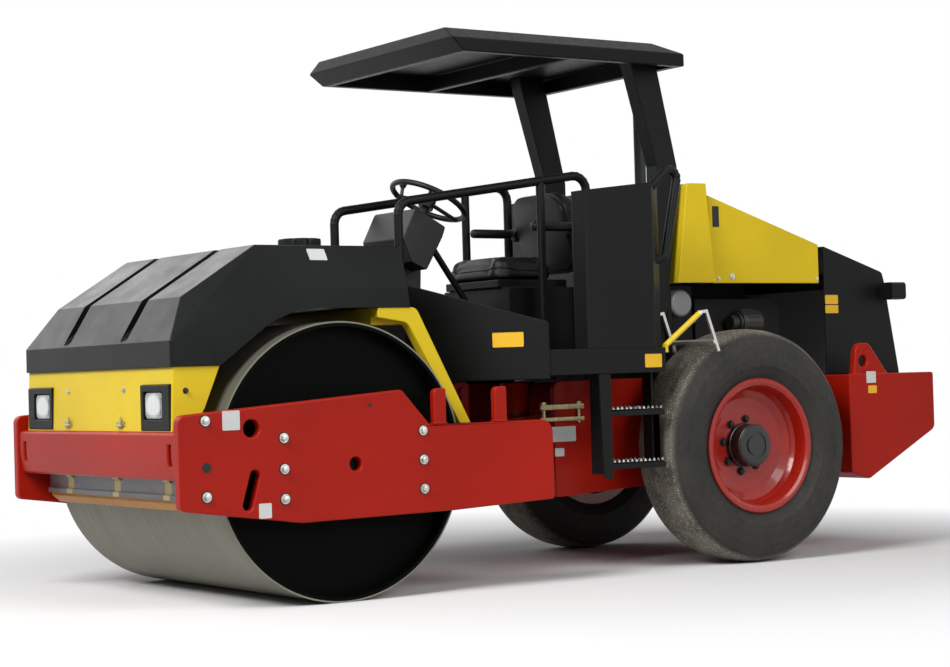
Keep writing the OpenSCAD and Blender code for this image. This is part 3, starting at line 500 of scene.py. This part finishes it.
def upright(spot, out):
    out = Vector(out).normalized()
    along = Vector((0, 0, 1)).cross(out).normalized()
    return Matrix.Translation(spot) @ Matrix((along, out.cross(along), out)).transposed().to_4x4()


lamps = copies(glass, "head_lamp_glass",
               [upright((lamp_seat, side * lamp_y, lamp_z), (1, 0, 0)) for side in (1, -1)],
               lens_glass, "front_frame")
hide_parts("head_lamps")

# Drum scraper
# A grey steel bar on three yellow-zinc hooks, with a worn ochre blade below it.
grey_steel = Finish("grey_steel")
hook_y, hook_half = 0.52, 0.0325
streak = grey_steel.grain(24, 5, (1, 0.15, 1))
bar_y = abs(grey_steel.axis("Y"))
hook = bar_y.math("MINIMUM", abs(bar_y - hook_y), bar_y) < hook_half
plain = grey_steel.mottle(streak, 0.3, 0.7, (0.10, 0.10, 0.105, 1), (0.20, 0.20, 0.21, 1))
grey_steel.surface(Base_Color=grey_steel.between(hook, plain, (0.42, 0.34, 0.14, 1)),
                   Metallic=0.6, Roughness=grey_steel.ramp(streak, (0.3, 0.34), (0.7, 0.5)))
paint(grey_steel, "front_scraper")
ochre = enamel("worn_ochre", (0.46, 0.19, 0.014), dust=(0.25, 0.17, 0.08), gloss=0.45, coat=0.0)
paint(ochre, "scraper_blade")

# Hitch and steering cylinders
# A red cast hitch between two frame plates, steered by two hydraulic cylinders with hard chrome rods.
# A bracket on the neck carries the hose couplings, and the lock bars are stowed on the rear frame's side.
chrome = Finish("hard_chrome")
chrome.surface(Base_Color=(0.72, 0.72, 0.74, 1), Metallic=1.0,
               Roughness=chrome.ramp(chrome.grain(90, 4), (0.3, 0.08), (0.7, 0.18)))
paint(chrome, "rod_left", "rod_right")
paint(gilt, "lock_link")
copies(bolt, "link_bolts", [facing((0, 0, 1), (-0.056 + x, 0.2475, 0.795), x) for x in (-0.34, -0.14)],
       gilt, "rear_frame")
bracket_x = 0.278
begin("cube", size=1, scale=(0.092, 0.245, 0.030), location=(bracket_x, 0.812, 0))
select_edges(lambda mid, way: abs(way.z) > 0.9 and mid.y > 0.9)
bpy.ops.mesh.bevel(offset=0.025, segments=4)
for coupling in (0.80, 0.845, 0.89):
    for corners, radius, depth in ((20, 0.014, 0.064), (6, 0.020, 0.044)):
        bpy.ops.mesh.primitive_cylinder_add(vertices=corners, radius=radius, depth=depth,
                                            location=(bracket_x, coupling, 0))
close("hose_bracket", red_enamel, "front_frame", place=Matrix.Rotation(pi / 2, 4, "X"))
begin("cube", size=1, scale=(0.26, 0.026, 0.010), location=(0, 0.030, 0.017))
bpy.ops.mesh.primitive_cube_add(size=1, scale=(0.26, 0.020, 0.010), location=(0, -0.030, 0.017))
select_edges(lambda mid, way: abs(way.x) > 0.9)
bpy.ops.mesh.bevel(offset=0.003, segments=2)
for end in (-0.105, 0.105):
    for corners, radius, depth, off in ((24, 0.009, 0.10, 0), (6, 0.015, 0.012, 0.048)):
        bpy.ops.mesh.primitive_cylinder_add(vertices=corners, radius=radius, depth=depth,
                                            location=(end, off, 0.011), rotation=(pi / 2, 0, 0))
frame_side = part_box("rear_frame")[1].y
close("lock_bars", gilt, "rear_frame", place=upright((-0.045, frame_side, 0.772), (0, 1, 0)))

# Platform, boxes, rails and posts
# Welded sheet and tube, powder coated in satin black with a fine texture.
# Two strips bed the floor on the rear frame.
black_coat = enamel("black_coat", (0.0065, 0.007, 0.0068), dust=(0.03, 0.029, 0.027),
                    gloss=0.36, coat=0.0, shine=0.12)
paint(black_coat, "lamp_bezels", "drum_carriers", "cylinder_left", "cylinder_right", "rear_axle",
      "platform", "platform_panels", "steps", "side_tanks", "handrails", "seat_base", "rops_posts",
      "bulkhead", "rear_shroud", "rear_lamps", "roof")
ground_edges(0.006, "platform_panels", "rops_posts", "seat_base", "roof", "rear_shroud", "lamp_bezels")
ground_edges(0.004, "platform", "steps", "bulkhead", "rear_lamps", "drum_carriers")
strip_size = (0.38, 0.030, 0.024)
strip_x, strip_y, strip_z = -0.115, 0.38, 0.934
begin("cube", size=1, scale=strip_size, location=(strip_x, strip_y, strip_z))
bpy.ops.mesh.primitive_cube_add(size=1, scale=strip_size, location=(strip_x, -strip_y, strip_z))
select_edges(lambda mid, way: True)
bpy.ops.mesh.bevel(offset=0.004, segments=2)
close("floor_strips", black_coat, "rear_frame")

# Step teeth
# Rows of punched teeth along both edges of each tread, worn bright at their tips.
worn_black = Finish("worn_black")
worn_black.surface(Base_Color=worn_black.mottle(worn_black.grain(90, 3), 0.4, 0.6,
                                                (0.02, 0.02, 0.02, 1), (0.30, 0.29, 0.28, 1)),
                   Metallic=0.5, Roughness=0.45)
begin("cone", vertices=4, radius1=0.009, radius2=0.003, depth=0.012, location=(0, 0, 0.006))
raise_face(lambda f: f.normal.z > 0.9, 0.001, 0.001)
tooth = close("tooth_pattern", worn_black)
rim_low, rim_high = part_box("rim_left")
axle_x = (rim_low.x + rim_high.x) / 2
axle_z = (rim_low.z + rim_high.z) / 2
tread_back = axle_x + 0.632
tread_long = 0.288
tread_edges = (0.694, 0.842)
tread_tops = (0.537, 0.787)
teeth = 12
for side, name in sides:
    rows = [Matrix.Translation((tread_back + tread_long * i / (teeth - 1), side * y, z))
            for z in tread_tops for y in tread_edges for i in range(teeth)]
    copies(tooth, "step_teeth_" + name, rows, worn_black, "rear_frame")

# Console and steering wheel
# A moulded black console with two dials and a switch on its slanted panel, a wheel on its column,
# a travel lever beside it and a slanted strut that ties it to the seat box.
console_black = Finish("console_black")
texture = console_black.grain(600, 3)
console_black.surface(Base_Color=console_black.mottle(console_black.grain(4, 3), 0.35, 0.7,
                                                      (0.007, 0.007, 0.0075, 1), (0.011, 0.011, 0.0115, 1)),
                      Roughness=console_black.ramp(texture, (0.3, 0.40), (0.7, 0.52)),
                      Specular_IOR_Level=0.28, Normal=console_black.bump(texture, 0.10))
paint(console_black, "console", "steering_wheel")
ground_edges(0.006, "console")


def seated(node, start, toward):
    hit, spot, normal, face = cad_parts[node].ray_cast(Vector(start), Vector(toward).normalized())
    return spot, normal


def on_console(forward, y):
    above = 2.1
    return seated("console", (axle_x + forward, y, above), (0, 0, -1))


begin("cylinder", vertices=36, radius=0.040, depth=0.008, location=(0, 0, 0.004))
raise_face(lambda f: f.normal.z > 0.9, 0.004, 0.004)
raise_face(middle_face(0.003), 0.003, -0.005)
dial = close("dial_pattern", zinc)
dial_face = Finish("dial_face")
dial_face.surface(Base_Color=dial_face.mottle(dial_face.grain(90, 2), 0.45, 0.55,
                                              (0.02, 0.02, 0.022, 1), (0.05, 0.05, 0.055, 1)),
                  Roughness=0.12, Coat_Weight=1.0)
dial_spots = [on_console(1.52, y) for y in (-0.115, 0.115)]
copies(dial, "console_dials", [facing(normal, spot) for spot, normal in dial_spots],
       dial_face, "rear_frame")
spot, normal = on_console(1.45, 0.14)
copies(bolt, "console_switch", [facing(normal, spot, 0.2, 0.7)], zinc, "rear_frame")
begin("cylinder", vertices=20, radius=0.009, depth=0.20, location=(0, 0, 0.10))
raise_face(lambda f: f.normal.z > 0.9, 0.0, 0.002)
for wide, lift in ((0.010, 0.010), (0.006, 0.016), (-0.004, 0.014), (-0.014, 0.006)):
    bpy.ops.mesh.extrude_region_move(TRANSFORM_OT_translate={"value": (0, 0, lift)})
    grow = 1 + wide / 0.014
    bpy.ops.transform.resize(value=(grow, grow, 1))
lever_foot = on_console(1.47, -0.16)[0] - Vector((0, 0, 0.01))
close("travel_lever", console_black, "rear_frame",
      place=facing((-0.25, -0.1, 1), lever_foot))
strut_low = Vector((axle_x + 1.119, 0.05, 1.20))
strut = Vector((axle_x + 1.440, 0.05, 1.652)) - strut_low
begin("cylinder", vertices=28, radius=0.016, depth=strut.length, location=(0, 0, strut.length / 2))
select_faces(lambda f: abs(f.normal.z) > 0.9)
bpy.ops.mesh.inset(thickness=0.004)
close("console_strut", black_coat, "rear_frame", place=facing(strut, strut_low))

# Seat
# Foam cushion and back in black vinyl with sewn channels and welted edges, on a steel pan,
# with two padded armrests.
vinyl = Finish("seat_vinyl")
hide = vinyl.cells(420.0)
vinyl.surface(Base_Color=vinyl.mottle(vinyl.grain(5, 4), 0.3, 0.7,
                                      (0.004, 0.004, 0.0042, 1), (0.009, 0.009, 0.0092, 1)),
              Roughness=vinyl.ramp(hide, (0.1, 0.34), (0.6, 0.48)), Specular_IOR_Level=0.22,
              Normal=vinyl.bump(hide, 0.12))


def stuff(piece, cap):
    held_below, last_step = 0.012, 20
    start = [v.co.copy() for v in piece.data.vertices]
    held = piece.vertex_groups.new(name="held")
    held.add([v.index for v in piece.data.vertices if v.co.z < held_below], 1.0, "REPLACE")
    stuffing = piece.modifiers.new("stuffing", "CLOTH")
    stuffing.settings.vertex_group_mass = "held"
    stuffing.settings.use_pressure = True
    stuffing.settings.uniform_pressure_force = 4
    stuffing.settings.effector_weights.gravity = 0
    for step in range(1, last_step + 1):
        scene.frame_set(step)
    bpy.ops.object.modifier_apply(modifier="stuffing")
    for v, first in zip(piece.data.vertices, start):
        move = v.co - first
        if move.length > cap:
            v.co = first + move * (cap / move.length)
    scene.frame_set(1)


def sew_welt(piece, name, length, width, level):
    stitches, square, outside = 120, 5, 1.1
    path = []
    for k in range(stitches):
        a = 2 * pi * k / stitches
        ahead = abs(cos(a)) / (length / 2)
        aside = abs(sin(a)) / (width / 2)
        reach = (ahead ** square + aside ** square) ** (1 / square)
        path.append(Vector((cos(a) / reach * outside, sin(a) / reach * outside, level)))
    welt = bpy.data.curves.new(name + "_welt", "CURVE")
    welt.dimensions = "3D"
    welt.bevel_depth = 0.0045
    welt.bevel_resolution = 2
    line = welt.splines.new("POLY")
    line.points.add(len(path) - 1)
    line.use_cyclic_u = True
    for point, near in zip(line.points, path):
        hit, spot, normal, face = piece.closest_point_on_mesh(near)
        point.co = tuple(spot) + (1,)
    cord = bpy.data.objects.new(name + "_welt", welt)
    scene.collection.objects.link(cord)
    bpy.ops.object.select_all(action="DESELECT")
    cord.select_set(True)
    bpy.context.view_layer.objects.active = cord
    bpy.ops.object.convert(target="MESH")
    piece.select_set(True)
    bpy.context.view_layer.objects.active = piece
    bpy.ops.object.join()


def pad(name, size, corner, channels, cap, place):
    length, width, height = size
    channel_wide, channels_above, welt_level = 0.012, height * 0.6, height * 0.62
    begin("cube", size=1, scale=size, location=(0, 0, height / 2))
    select_edges(lambda mid, way: abs(way.z) > 0.9)
    bpy.ops.mesh.bevel(offset=corner, segments=6)
    select_edges(lambda mid, way: mid.z > height - 0.001 or mid.z < 0.001)
    bpy.ops.mesh.bevel(offset=0.022, segments=3)
    bpy.ops.object.mode_set(mode="OBJECT")
    piece = bpy.context.object
    piece.data.remesh_voxel_size = 0.008
    bpy.ops.object.voxel_remesh()
    stuff(piece, cap)
    taut = piece.modifiers.new("taut", "SMOOTH")
    taut.factor = 0.5
    taut.iterations = 8
    bpy.ops.object.modifier_apply(modifier="taut")
    for v in piece.data.vertices:
        if v.co.z > channels_above:
            v.co.z -= sum(depth * exp(-((v.co[axis] - at) / channel_wide) ** 2)
                          for axis, at, depth in channels)
    rounding = piece.modifiers.new("rounding", "SUBSURF")
    rounding.levels = rounding.render_levels = 1
    bpy.ops.object.modifier_apply(modifier="rounding")
    sew_welt(piece, name, length, width, welt_level)
    piece = close(name, vinyl, "rear_frame", 60, place)
    return piece


seat_pan = 1.435
cushion_lines = [(0, -0.06, 0.005), (0, 0.06, 0.005), (1, 0.155, 0.006), (1, -0.155, 0.006)]
cushion = pad("seat_cushion_pad", (0.350, 0.475, 0.098), 0.075, cushion_lines, 0.016,
              Matrix.Translation((axle_x + 0.970, 0, seat_pan + 0.002)))
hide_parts("seat_cushion")
back_lines = [(0, -0.08, 0.007), (0, 0.03, 0.007), (0, 0.12, 0.007), (1, 0.150, 0.008), (1, -0.150, 0.008)]
lean = radians(-76)
back_place = Matrix.Translation((axle_x + 0.652, 0, 1.683)) @ Matrix.Rotation(lean, 4, "Y")
back = pad("seat_back_pad", (0.40, 0.45, 0.078), 0.105, back_lines, 0.014,
           back_place @ Matrix.Translation((0, 0, -0.016)))
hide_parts("seat_back")
begin("cube", size=1, scale=(0.415, 0.46, 0.026), location=(0, 0, -0.013))
select_edges(lambda mid, way: abs(way.z) > 0.9)
bpy.ops.mesh.bevel(offset=0.10, segments=8)
raise_face(lambda f: f.normal.z < -0.9, 0.02, -0.012)
select_edges(lambda mid, way: mid.z < -0.01)
bpy.ops.mesh.bevel(offset=0.004, segments=2)
close("seat_back_shell", console_black, "rear_frame",
      place=back_place @ Matrix.Translation((0, 0, -0.014)))
begin("cube", size=1, scale=(0.285, 0.052, 0.046))
select_edges(lambda mid, way: True)
bpy.ops.mesh.bevel(offset=0.019, segments=4)
bpy.ops.mesh.primitive_cylinder_add(vertices=28, radius=0.03, depth=0.03, location=(-0.12, -0.03, -0.012),
                                    rotation=(pi / 2, 0, 0))
armrest = close("armrest_pattern", vinyl)
rest_places = [Matrix.Translation((axle_x + 0.812, side * 0.268, 1.697)) @ Matrix.Scale(side, 4, (0, 1, 0))
               for side in (1, -1)]
rests = copies(armrest, "armrests", rest_places, vinyl, "rear_frame")

# Hood and cowl
# Folded sheet steel in yellow enamel. Each side of the hood has a black louvre high at its front
# and a key lock between two screws at its lower edge.
paint(yellow_enamel, "cowl", "hood")
ground_edges(0.004, "cowl", "hood")
hood_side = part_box("hood")[1].y
begin("cube", size=1, scale=(0.042, 0.106, 0.003), location=(0, 0, 0.0005))
select_edges(lambda mid, way: abs(way.z) > 0.9)
bpy.ops.mesh.bevel(offset=0.004, segments=2)
raise_face(lambda f: f.normal.z > 0.9, 0.003, -0.0012)
for k in range(5):
    bpy.ops.mesh.primitive_cube_add(size=1, scale=(0.034, 0.004, 0.002),
                                    location=(0, -0.04 + 0.02 * k, 0.001))
louvre = close("louvre_pattern", black_iron)
copies(louvre, "hood_louvres",
       [upright((-0.976, side * hood_side, 1.742), (0, side, 0)) for side in (1, -1)],
       black_iron, "hood")
begin("cylinder", vertices=32, radius=0.017, depth=0.004, location=(0, 0, 0.002))
raise_face(lambda f: f.normal.z > 0.9, 0.003, 0.003)
bpy.ops.mesh.primitive_cube_add(size=1, scale=(0.005, 0.016, 0.003), location=(0, 0, 0.008))
lock = close("lock_pattern", zinc)
copies(lock, "hood_locks",
       [upright((-1.073, side * hood_side, 1.436), (0, side, 0)) for side in (1, -1)],
       zinc, "hood")
copies(bolt, "hood_screws", [facing((0, side, 0), (x, side * hood_side, 1.425), 0.3, 0.5)
                             for side in (1, -1) for x in (-0.985, -1.655)], zinc, "hood")

# Roof seam and back panel
# A sealed seam where the roof's rear slope meets its skirt, and a pressed black sheet on the posts
# behind the seat, which screens the driver from the engine.
begin("cube", size=1, scale=(0.030, 1.236, 0.010))
select_edges(lambda mid, way: abs(way.y) > 0.9)
bpy.ops.mesh.bevel(offset=0.003, segments=2)
roof_slope = radians(22.9)
close("roof_seam", black_coat, "rear_frame",
      place=Matrix.Translation((axle_x + 0.3225, 0, 2.5466)) @ Matrix.Rotation(-roof_slope, 4, "Y"))
panel_spot, panel_out = seated("rops_posts", (0, 0.475, 1.49), (-1, 0, 0))
sheet_t = 0.010
begin("cube", size=1, scale=(1.04, 0.83, sheet_t), location=(0, 0, sheet_t / 2))
raise_face(lambda f: f.normal.z > 0.9, 0.05, 0.0)
raise_face(lambda f: f.normal.z > 0.9 and f.area > 0.5, 0.006, -0.004)
bpy.ops.mesh.primitive_cube_add(size=1, scale=(0.25, 0.50, sheet_t), location=(-0.640, 0.165, sheet_t / 2))
select_edges(lambda mid, way: abs(way.z) > 0.9)
bpy.ops.mesh.bevel(offset=0.015, segments=3)
close("back_panel", black_coat, "rear_frame",
      place=upright((panel_spot.x, 0, panel_spot.z), panel_out))

# Engine bay
# A dark cast engine with a ribbed alloy alternator, a silver-grey air cleaner can, a grey exhaust pipe
# and a grey finned radiator behind the grille.
iron = Finish("engine_iron")
casting = iron.grain(180, 4)
iron.surface(Base_Color=iron.mottle(casting, 0.3, 0.7, (0.006, 0.006, 0.0065, 1), (0.016, 0.016, 0.017, 1)),
             Roughness=0.7, Specular_IOR_Level=0.2, Normal=iron.bump(casting, 0.3))
paint(iron, "engine")
engine_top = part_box("engine")[1].z
cover_high = 0.085
begin("cube", size=1, scale=(0.40, 0.24, cover_high), location=(-1.30, 0, engine_top + cover_high / 2))
raise_face(lambda f: f.normal.z > 0.9, 0.028, 0.030)
select_edges(lambda mid, way: mid.z > engine_top + 0.001)
bpy.ops.mesh.bevel(offset=0.010, segments=3)
close("valve_cover", iron, "rear_frame")
begin("cylinder", vertices=40, radius=0.064, depth=0.13, location=(0, 0, 0.065))
raise_face(middle_face(0.002), 0.010, 0.012)
raise_face(middle_face(0.002), 0.016, 0.018)
raise_face(middle_face(0.002), -0.006, 0.022)
select_edges(lambda mid, way: abs(way.z) < 0.1 and 0.001 < mid.z < 0.16)
bpy.ops.mesh.bevel(offset=0.003, segments=2)
rib_count, rib_r = 16, 0.066
for k in range(rib_count):
    turn_by = 2 * pi * k / rib_count
    bpy.ops.mesh.primitive_cube_add(size=1, scale=(0.006, 0.004, 0.07), rotation=(0, 0, turn_by),
                                    location=(rib_r * cos(turn_by), rib_r * sin(turn_by), 0.06))
dull_alloy = enamel("dull_alloy", (0.035, 0.035, 0.033), dust=(0.06, 0.06, 0.055),
                    gloss=0.45, coat=0.0, shine=0.3)
close("alternator", dull_alloy, "rear_frame", place=facing((1, 0, 0), (-1.38, 0.338, 1.205)))
silver_grey = enamel("silver_grey", (0.27, 0.285, 0.28), dust=(0.3, 0.3, 0.28), gloss=0.4, coat=0.1)
paint(silver_grey, "air_cleaner")
ground_edges(0.016, "air_cleaner")
pipe_grey = enamel("pipe_grey", (0.026, 0.036, 0.033), dust=(0.06, 0.06, 0.055),
                   gloss=0.42, coat=0.0, shine=0.2)
paint(pipe_grey, "exhaust")
fins = Finish("radiator_fins")
comb = fins.stripes(60.0)
fins.surface(Base_Color=fins.between(comb, (0.03, 0.03, 0.032, 1), (0.12, 0.12, 0.125, 1)),
             Metallic=0.6, Roughness=0.45, Normal=fins.bump(comb, 0.5, 0.003))
paint(fins, "radiator")

# Rear lamps
# A red dimpled glass set in the back of each black lamp block, one on either side of the shroud.
red_glass = Finish("red_glass")
dimples = red_glass.cells(190.0)
red_glass.surface(Base_Color=red_glass.between(dimples, (0.42, 0.012, 0.01, 1), (0.25, 0.006, 0.006, 1)),
                  Roughness=0.12, Coat_Weight=0.8, Normal=red_glass.bump(dimples, 0.3))
begin("cube", size=1, scale=(0.072, 0.072, 0.008), location=(0, 0, 0.003))
select_edges(lambda mid, way: abs(way.z) > 0.9)
bpy.ops.mesh.bevel(offset=0.014, segments=4)
raise_face(lambda f: f.normal.z > 0.9, 0.006, 0.003)
tail = close("tail_pattern", red_glass)
block_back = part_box("rear_lamps")[0].x
copies(tail, "rear_lamp_glass",
       [upright((block_back, side * 0.596, 1.356), (-1, 0, 0)) for side in (1, -1)],
       red_glass, "rear_frame")

# Tyre scrapers
# Zinc-plated arms with a wiper over each tyre, on struts of yellow-painted bar.
scraper_paint = Finish("scraper_paint")
strut_back = -0.548
painted = scraper_paint.axis("X") > strut_back
dents = scraper_paint.grain(80, 4)
scraper_paint.surface(Base_Color=scraper_paint.between(painted, (0.56, 0.55, 0.52, 1),
                                                       (0.76, 0.53, 0.018, 1)),
                      Metallic=0.85 - painted * 0.85,
                      Roughness=scraper_paint.ramp(dents, (0.3, 0.3), (0.7, 0.45)))
paint(scraper_paint, "tyre_scrapers")

# Tyres
# Smooth-tread rubber, greyed by the road, with asphalt grit pressed into the tread
# and moulded rings on the walls.
rubber = Finish("road_rubber")
from_axle_x = rubber.axis("X") - axle_x
from_axle_z = rubber.axis("Z") - axle_z
out = from_axle_x.math("SQRT", from_axle_x * from_axle_x + from_axle_z * from_axle_z)
wall_r, tread_r, ring_rate = 0.545, 0.570, 210
tread = rubber.ramp(out, (wall_r, 0.0), (tread_r, 1.0))
patch = rubber.ramp(rubber.grain(7, 4), (0.42, 0.0), (0.58, 1.0))
strewn = rubber.ramp(rubber.grain(38, 3), (0.36, 0.0), (0.52, 1.0))
grit = rubber.ramp(rubber.cells(105.0), (0.20, 1.0), (0.40, 0.0)) * tread * strewn
wall = rubber.mottle(rubber.grain(5, 5), 0.3, 0.75, (0.017, 0.0166, 0.0148, 1), (0.032, 0.0305, 0.0255, 1))
worn = rubber.between(tread * (0.45 + patch * 0.45), wall, (0.185, 0.176, 0.140, 1))
ribs = out.math("SINE", out * ring_rate)
rubber.surface(Base_Color=rubber.between(grit, worn, (0.38, 0.365, 0.30, 1)), Specular_IOR_Level=0.3,
               Roughness=rubber.ramp(rubber.grain(45, 4), (0.3, 0.58), (0.7, 0.8)),
               Normal=rubber.bump(grit + ribs * 0.12 * (1 - tread), 0.4, 0.002))
paint(rubber, "tyre_left", "tyre_right")

# Wheel hubs
# Dished steel rims in glossy red, each with a black cast hub with a stepped nose,
# ringed by eight wheel nuts.
rim_enamel = enamel("rim_enamel", (0.345, 0.0100, 0.0035), dust=(0.25, 0.05, 0.03),
                    gloss=0.24, coat=0.45, shine=0.3)
paint(rim_enamel, "rim_left", "rim_right")
hub_black = enamel("hub_black", (0.007, 0.007, 0.0072), dust=(0.05, 0.048, 0.044),
                   gloss=0.22, coat=0.3, shine=0.4)
begin("cylinder", vertices=48, radius=0.110, depth=0.026, location=(0, 0, 0.013))
for inset, lift in ((0.005, 0.0), (0.0, 0.064), (0.006, 0.006), (0.030, -0.004), (0.020, 0.006)):
    raise_face(middle_face(0.0004), inset, lift)
select_edges(lambda mid, way: abs(way.z) < 0.1 and mid.xy.length > 0.09 and mid.z > 0.02)
bpy.ops.mesh.bevel(offset=0.003, segments=2)
hub = close("hub_pattern", hub_black)
hub_seat, nut_ring = 0.695, 0.132
for side, name in sides:
    middle = Vector((axle_x, side * hub_seat, axle_z))
    copies(hub, "hub_" + name, [facing((0, side, 0), middle)], hub_black, "wheel_" + name)
    turns = [i * pi / 4 + 0.15 for i in range(8)]
    ring = [middle + Vector((nut_ring * cos(a), 0, nut_ring * sin(a))) for a in turns]
    copies(bolt, "wheel_nuts_" + name, [facing((0, side, 0), p, i * 0.5) for i, p in enumerate(ring)],
           black_iron, "wheel_" + name)

# Blank plates
# Thin aluminium plates, white or yellow enamelled and left blank, stuck flat
# where the maker puts signs.
white_plate = enamel("white_plate", (0.62, 0.63, 0.62), dust=(0.4, 0.4, 0.38), gloss=0.35, coat=0.2)
yellow_plate = enamel("yellow_plate", (0.82, 0.46, 0.008), dust=(0.5, 0.35, 0.05), gloss=0.35, coat=0.2)
signs = [("lift_sign", "side_plate_left", 2.0135, 0.808, 0.081, 0.082, white_plate, "front_frame"),
         ("drain_sign", "side_plate_left", 1.863, 0.4225, 0.060, 0.063, white_plate, "front_frame"),
         ("tank_sign", "water_tank", 1.4615, 1.518, 0.089, 0.062, white_plate, "front_frame"),
         ("panel_sign", "platform_panels", 0.474, 1.128, 0.149, 0.068, yellow_plate, "rear_frame"),
         ("sill_sign", "platform", -0.2785, 1.014, 0.101, 0.064, yellow_plate, "rear_frame"),
         ("hitch_plate_sign", "rear_frame", -0.0615, 0.668, 0.149, 0.074, white_plate, "rear_frame"),
         ("hitch_plate_sign_small", "rear_frame", -0.035, 0.580, 0.056, 0.040, white_plate, "rear_frame"),
         ("shroud_sign_top", "rear_shroud", -1.7535, 1.315, 0.091, 0.048, yellow_plate, "rear_frame"),
         ("shroud_sign_low", "rear_shroud", -1.7535, 1.2645, 0.091, 0.043, yellow_plate, "rear_frame"),
         ("ear_sign_white", "counterweight", -1.799, 0.900, 0.066, 0.060, white_plate, "rear_frame"),
         ("ear_sign_yellow", "counterweight", -1.806, 0.836, 0.060, 0.040, yellow_plate, "rear_frame")]
beside = 2.0
for name, node, x, z, wide, high, finish, body in signs:
    spot, normal = seated(node, (x, beside, z), (0, -1, 0))
    begin("cube", size=1, scale=(wide, high, 0.002), location=(0, 0, 0.0006))
    select_edges(lambda mid, way: abs(way.z) > 0.9)
    bpy.ops.mesh.bevel(offset=0.005, segments=3)
    raise_face(lambda f: f.normal.z > 0.9, 0.003, -0.0004)
    close(name, finish, body, place=upright(spot, normal))

# Patterns
# The patterns that the copies were made from are removed.
for pattern in (bolt, painted_shade_well, latch, glass, tooth, dial, armrest, louvre, lock, tail, hub):
    bpy.data.objects.remove(pattern)
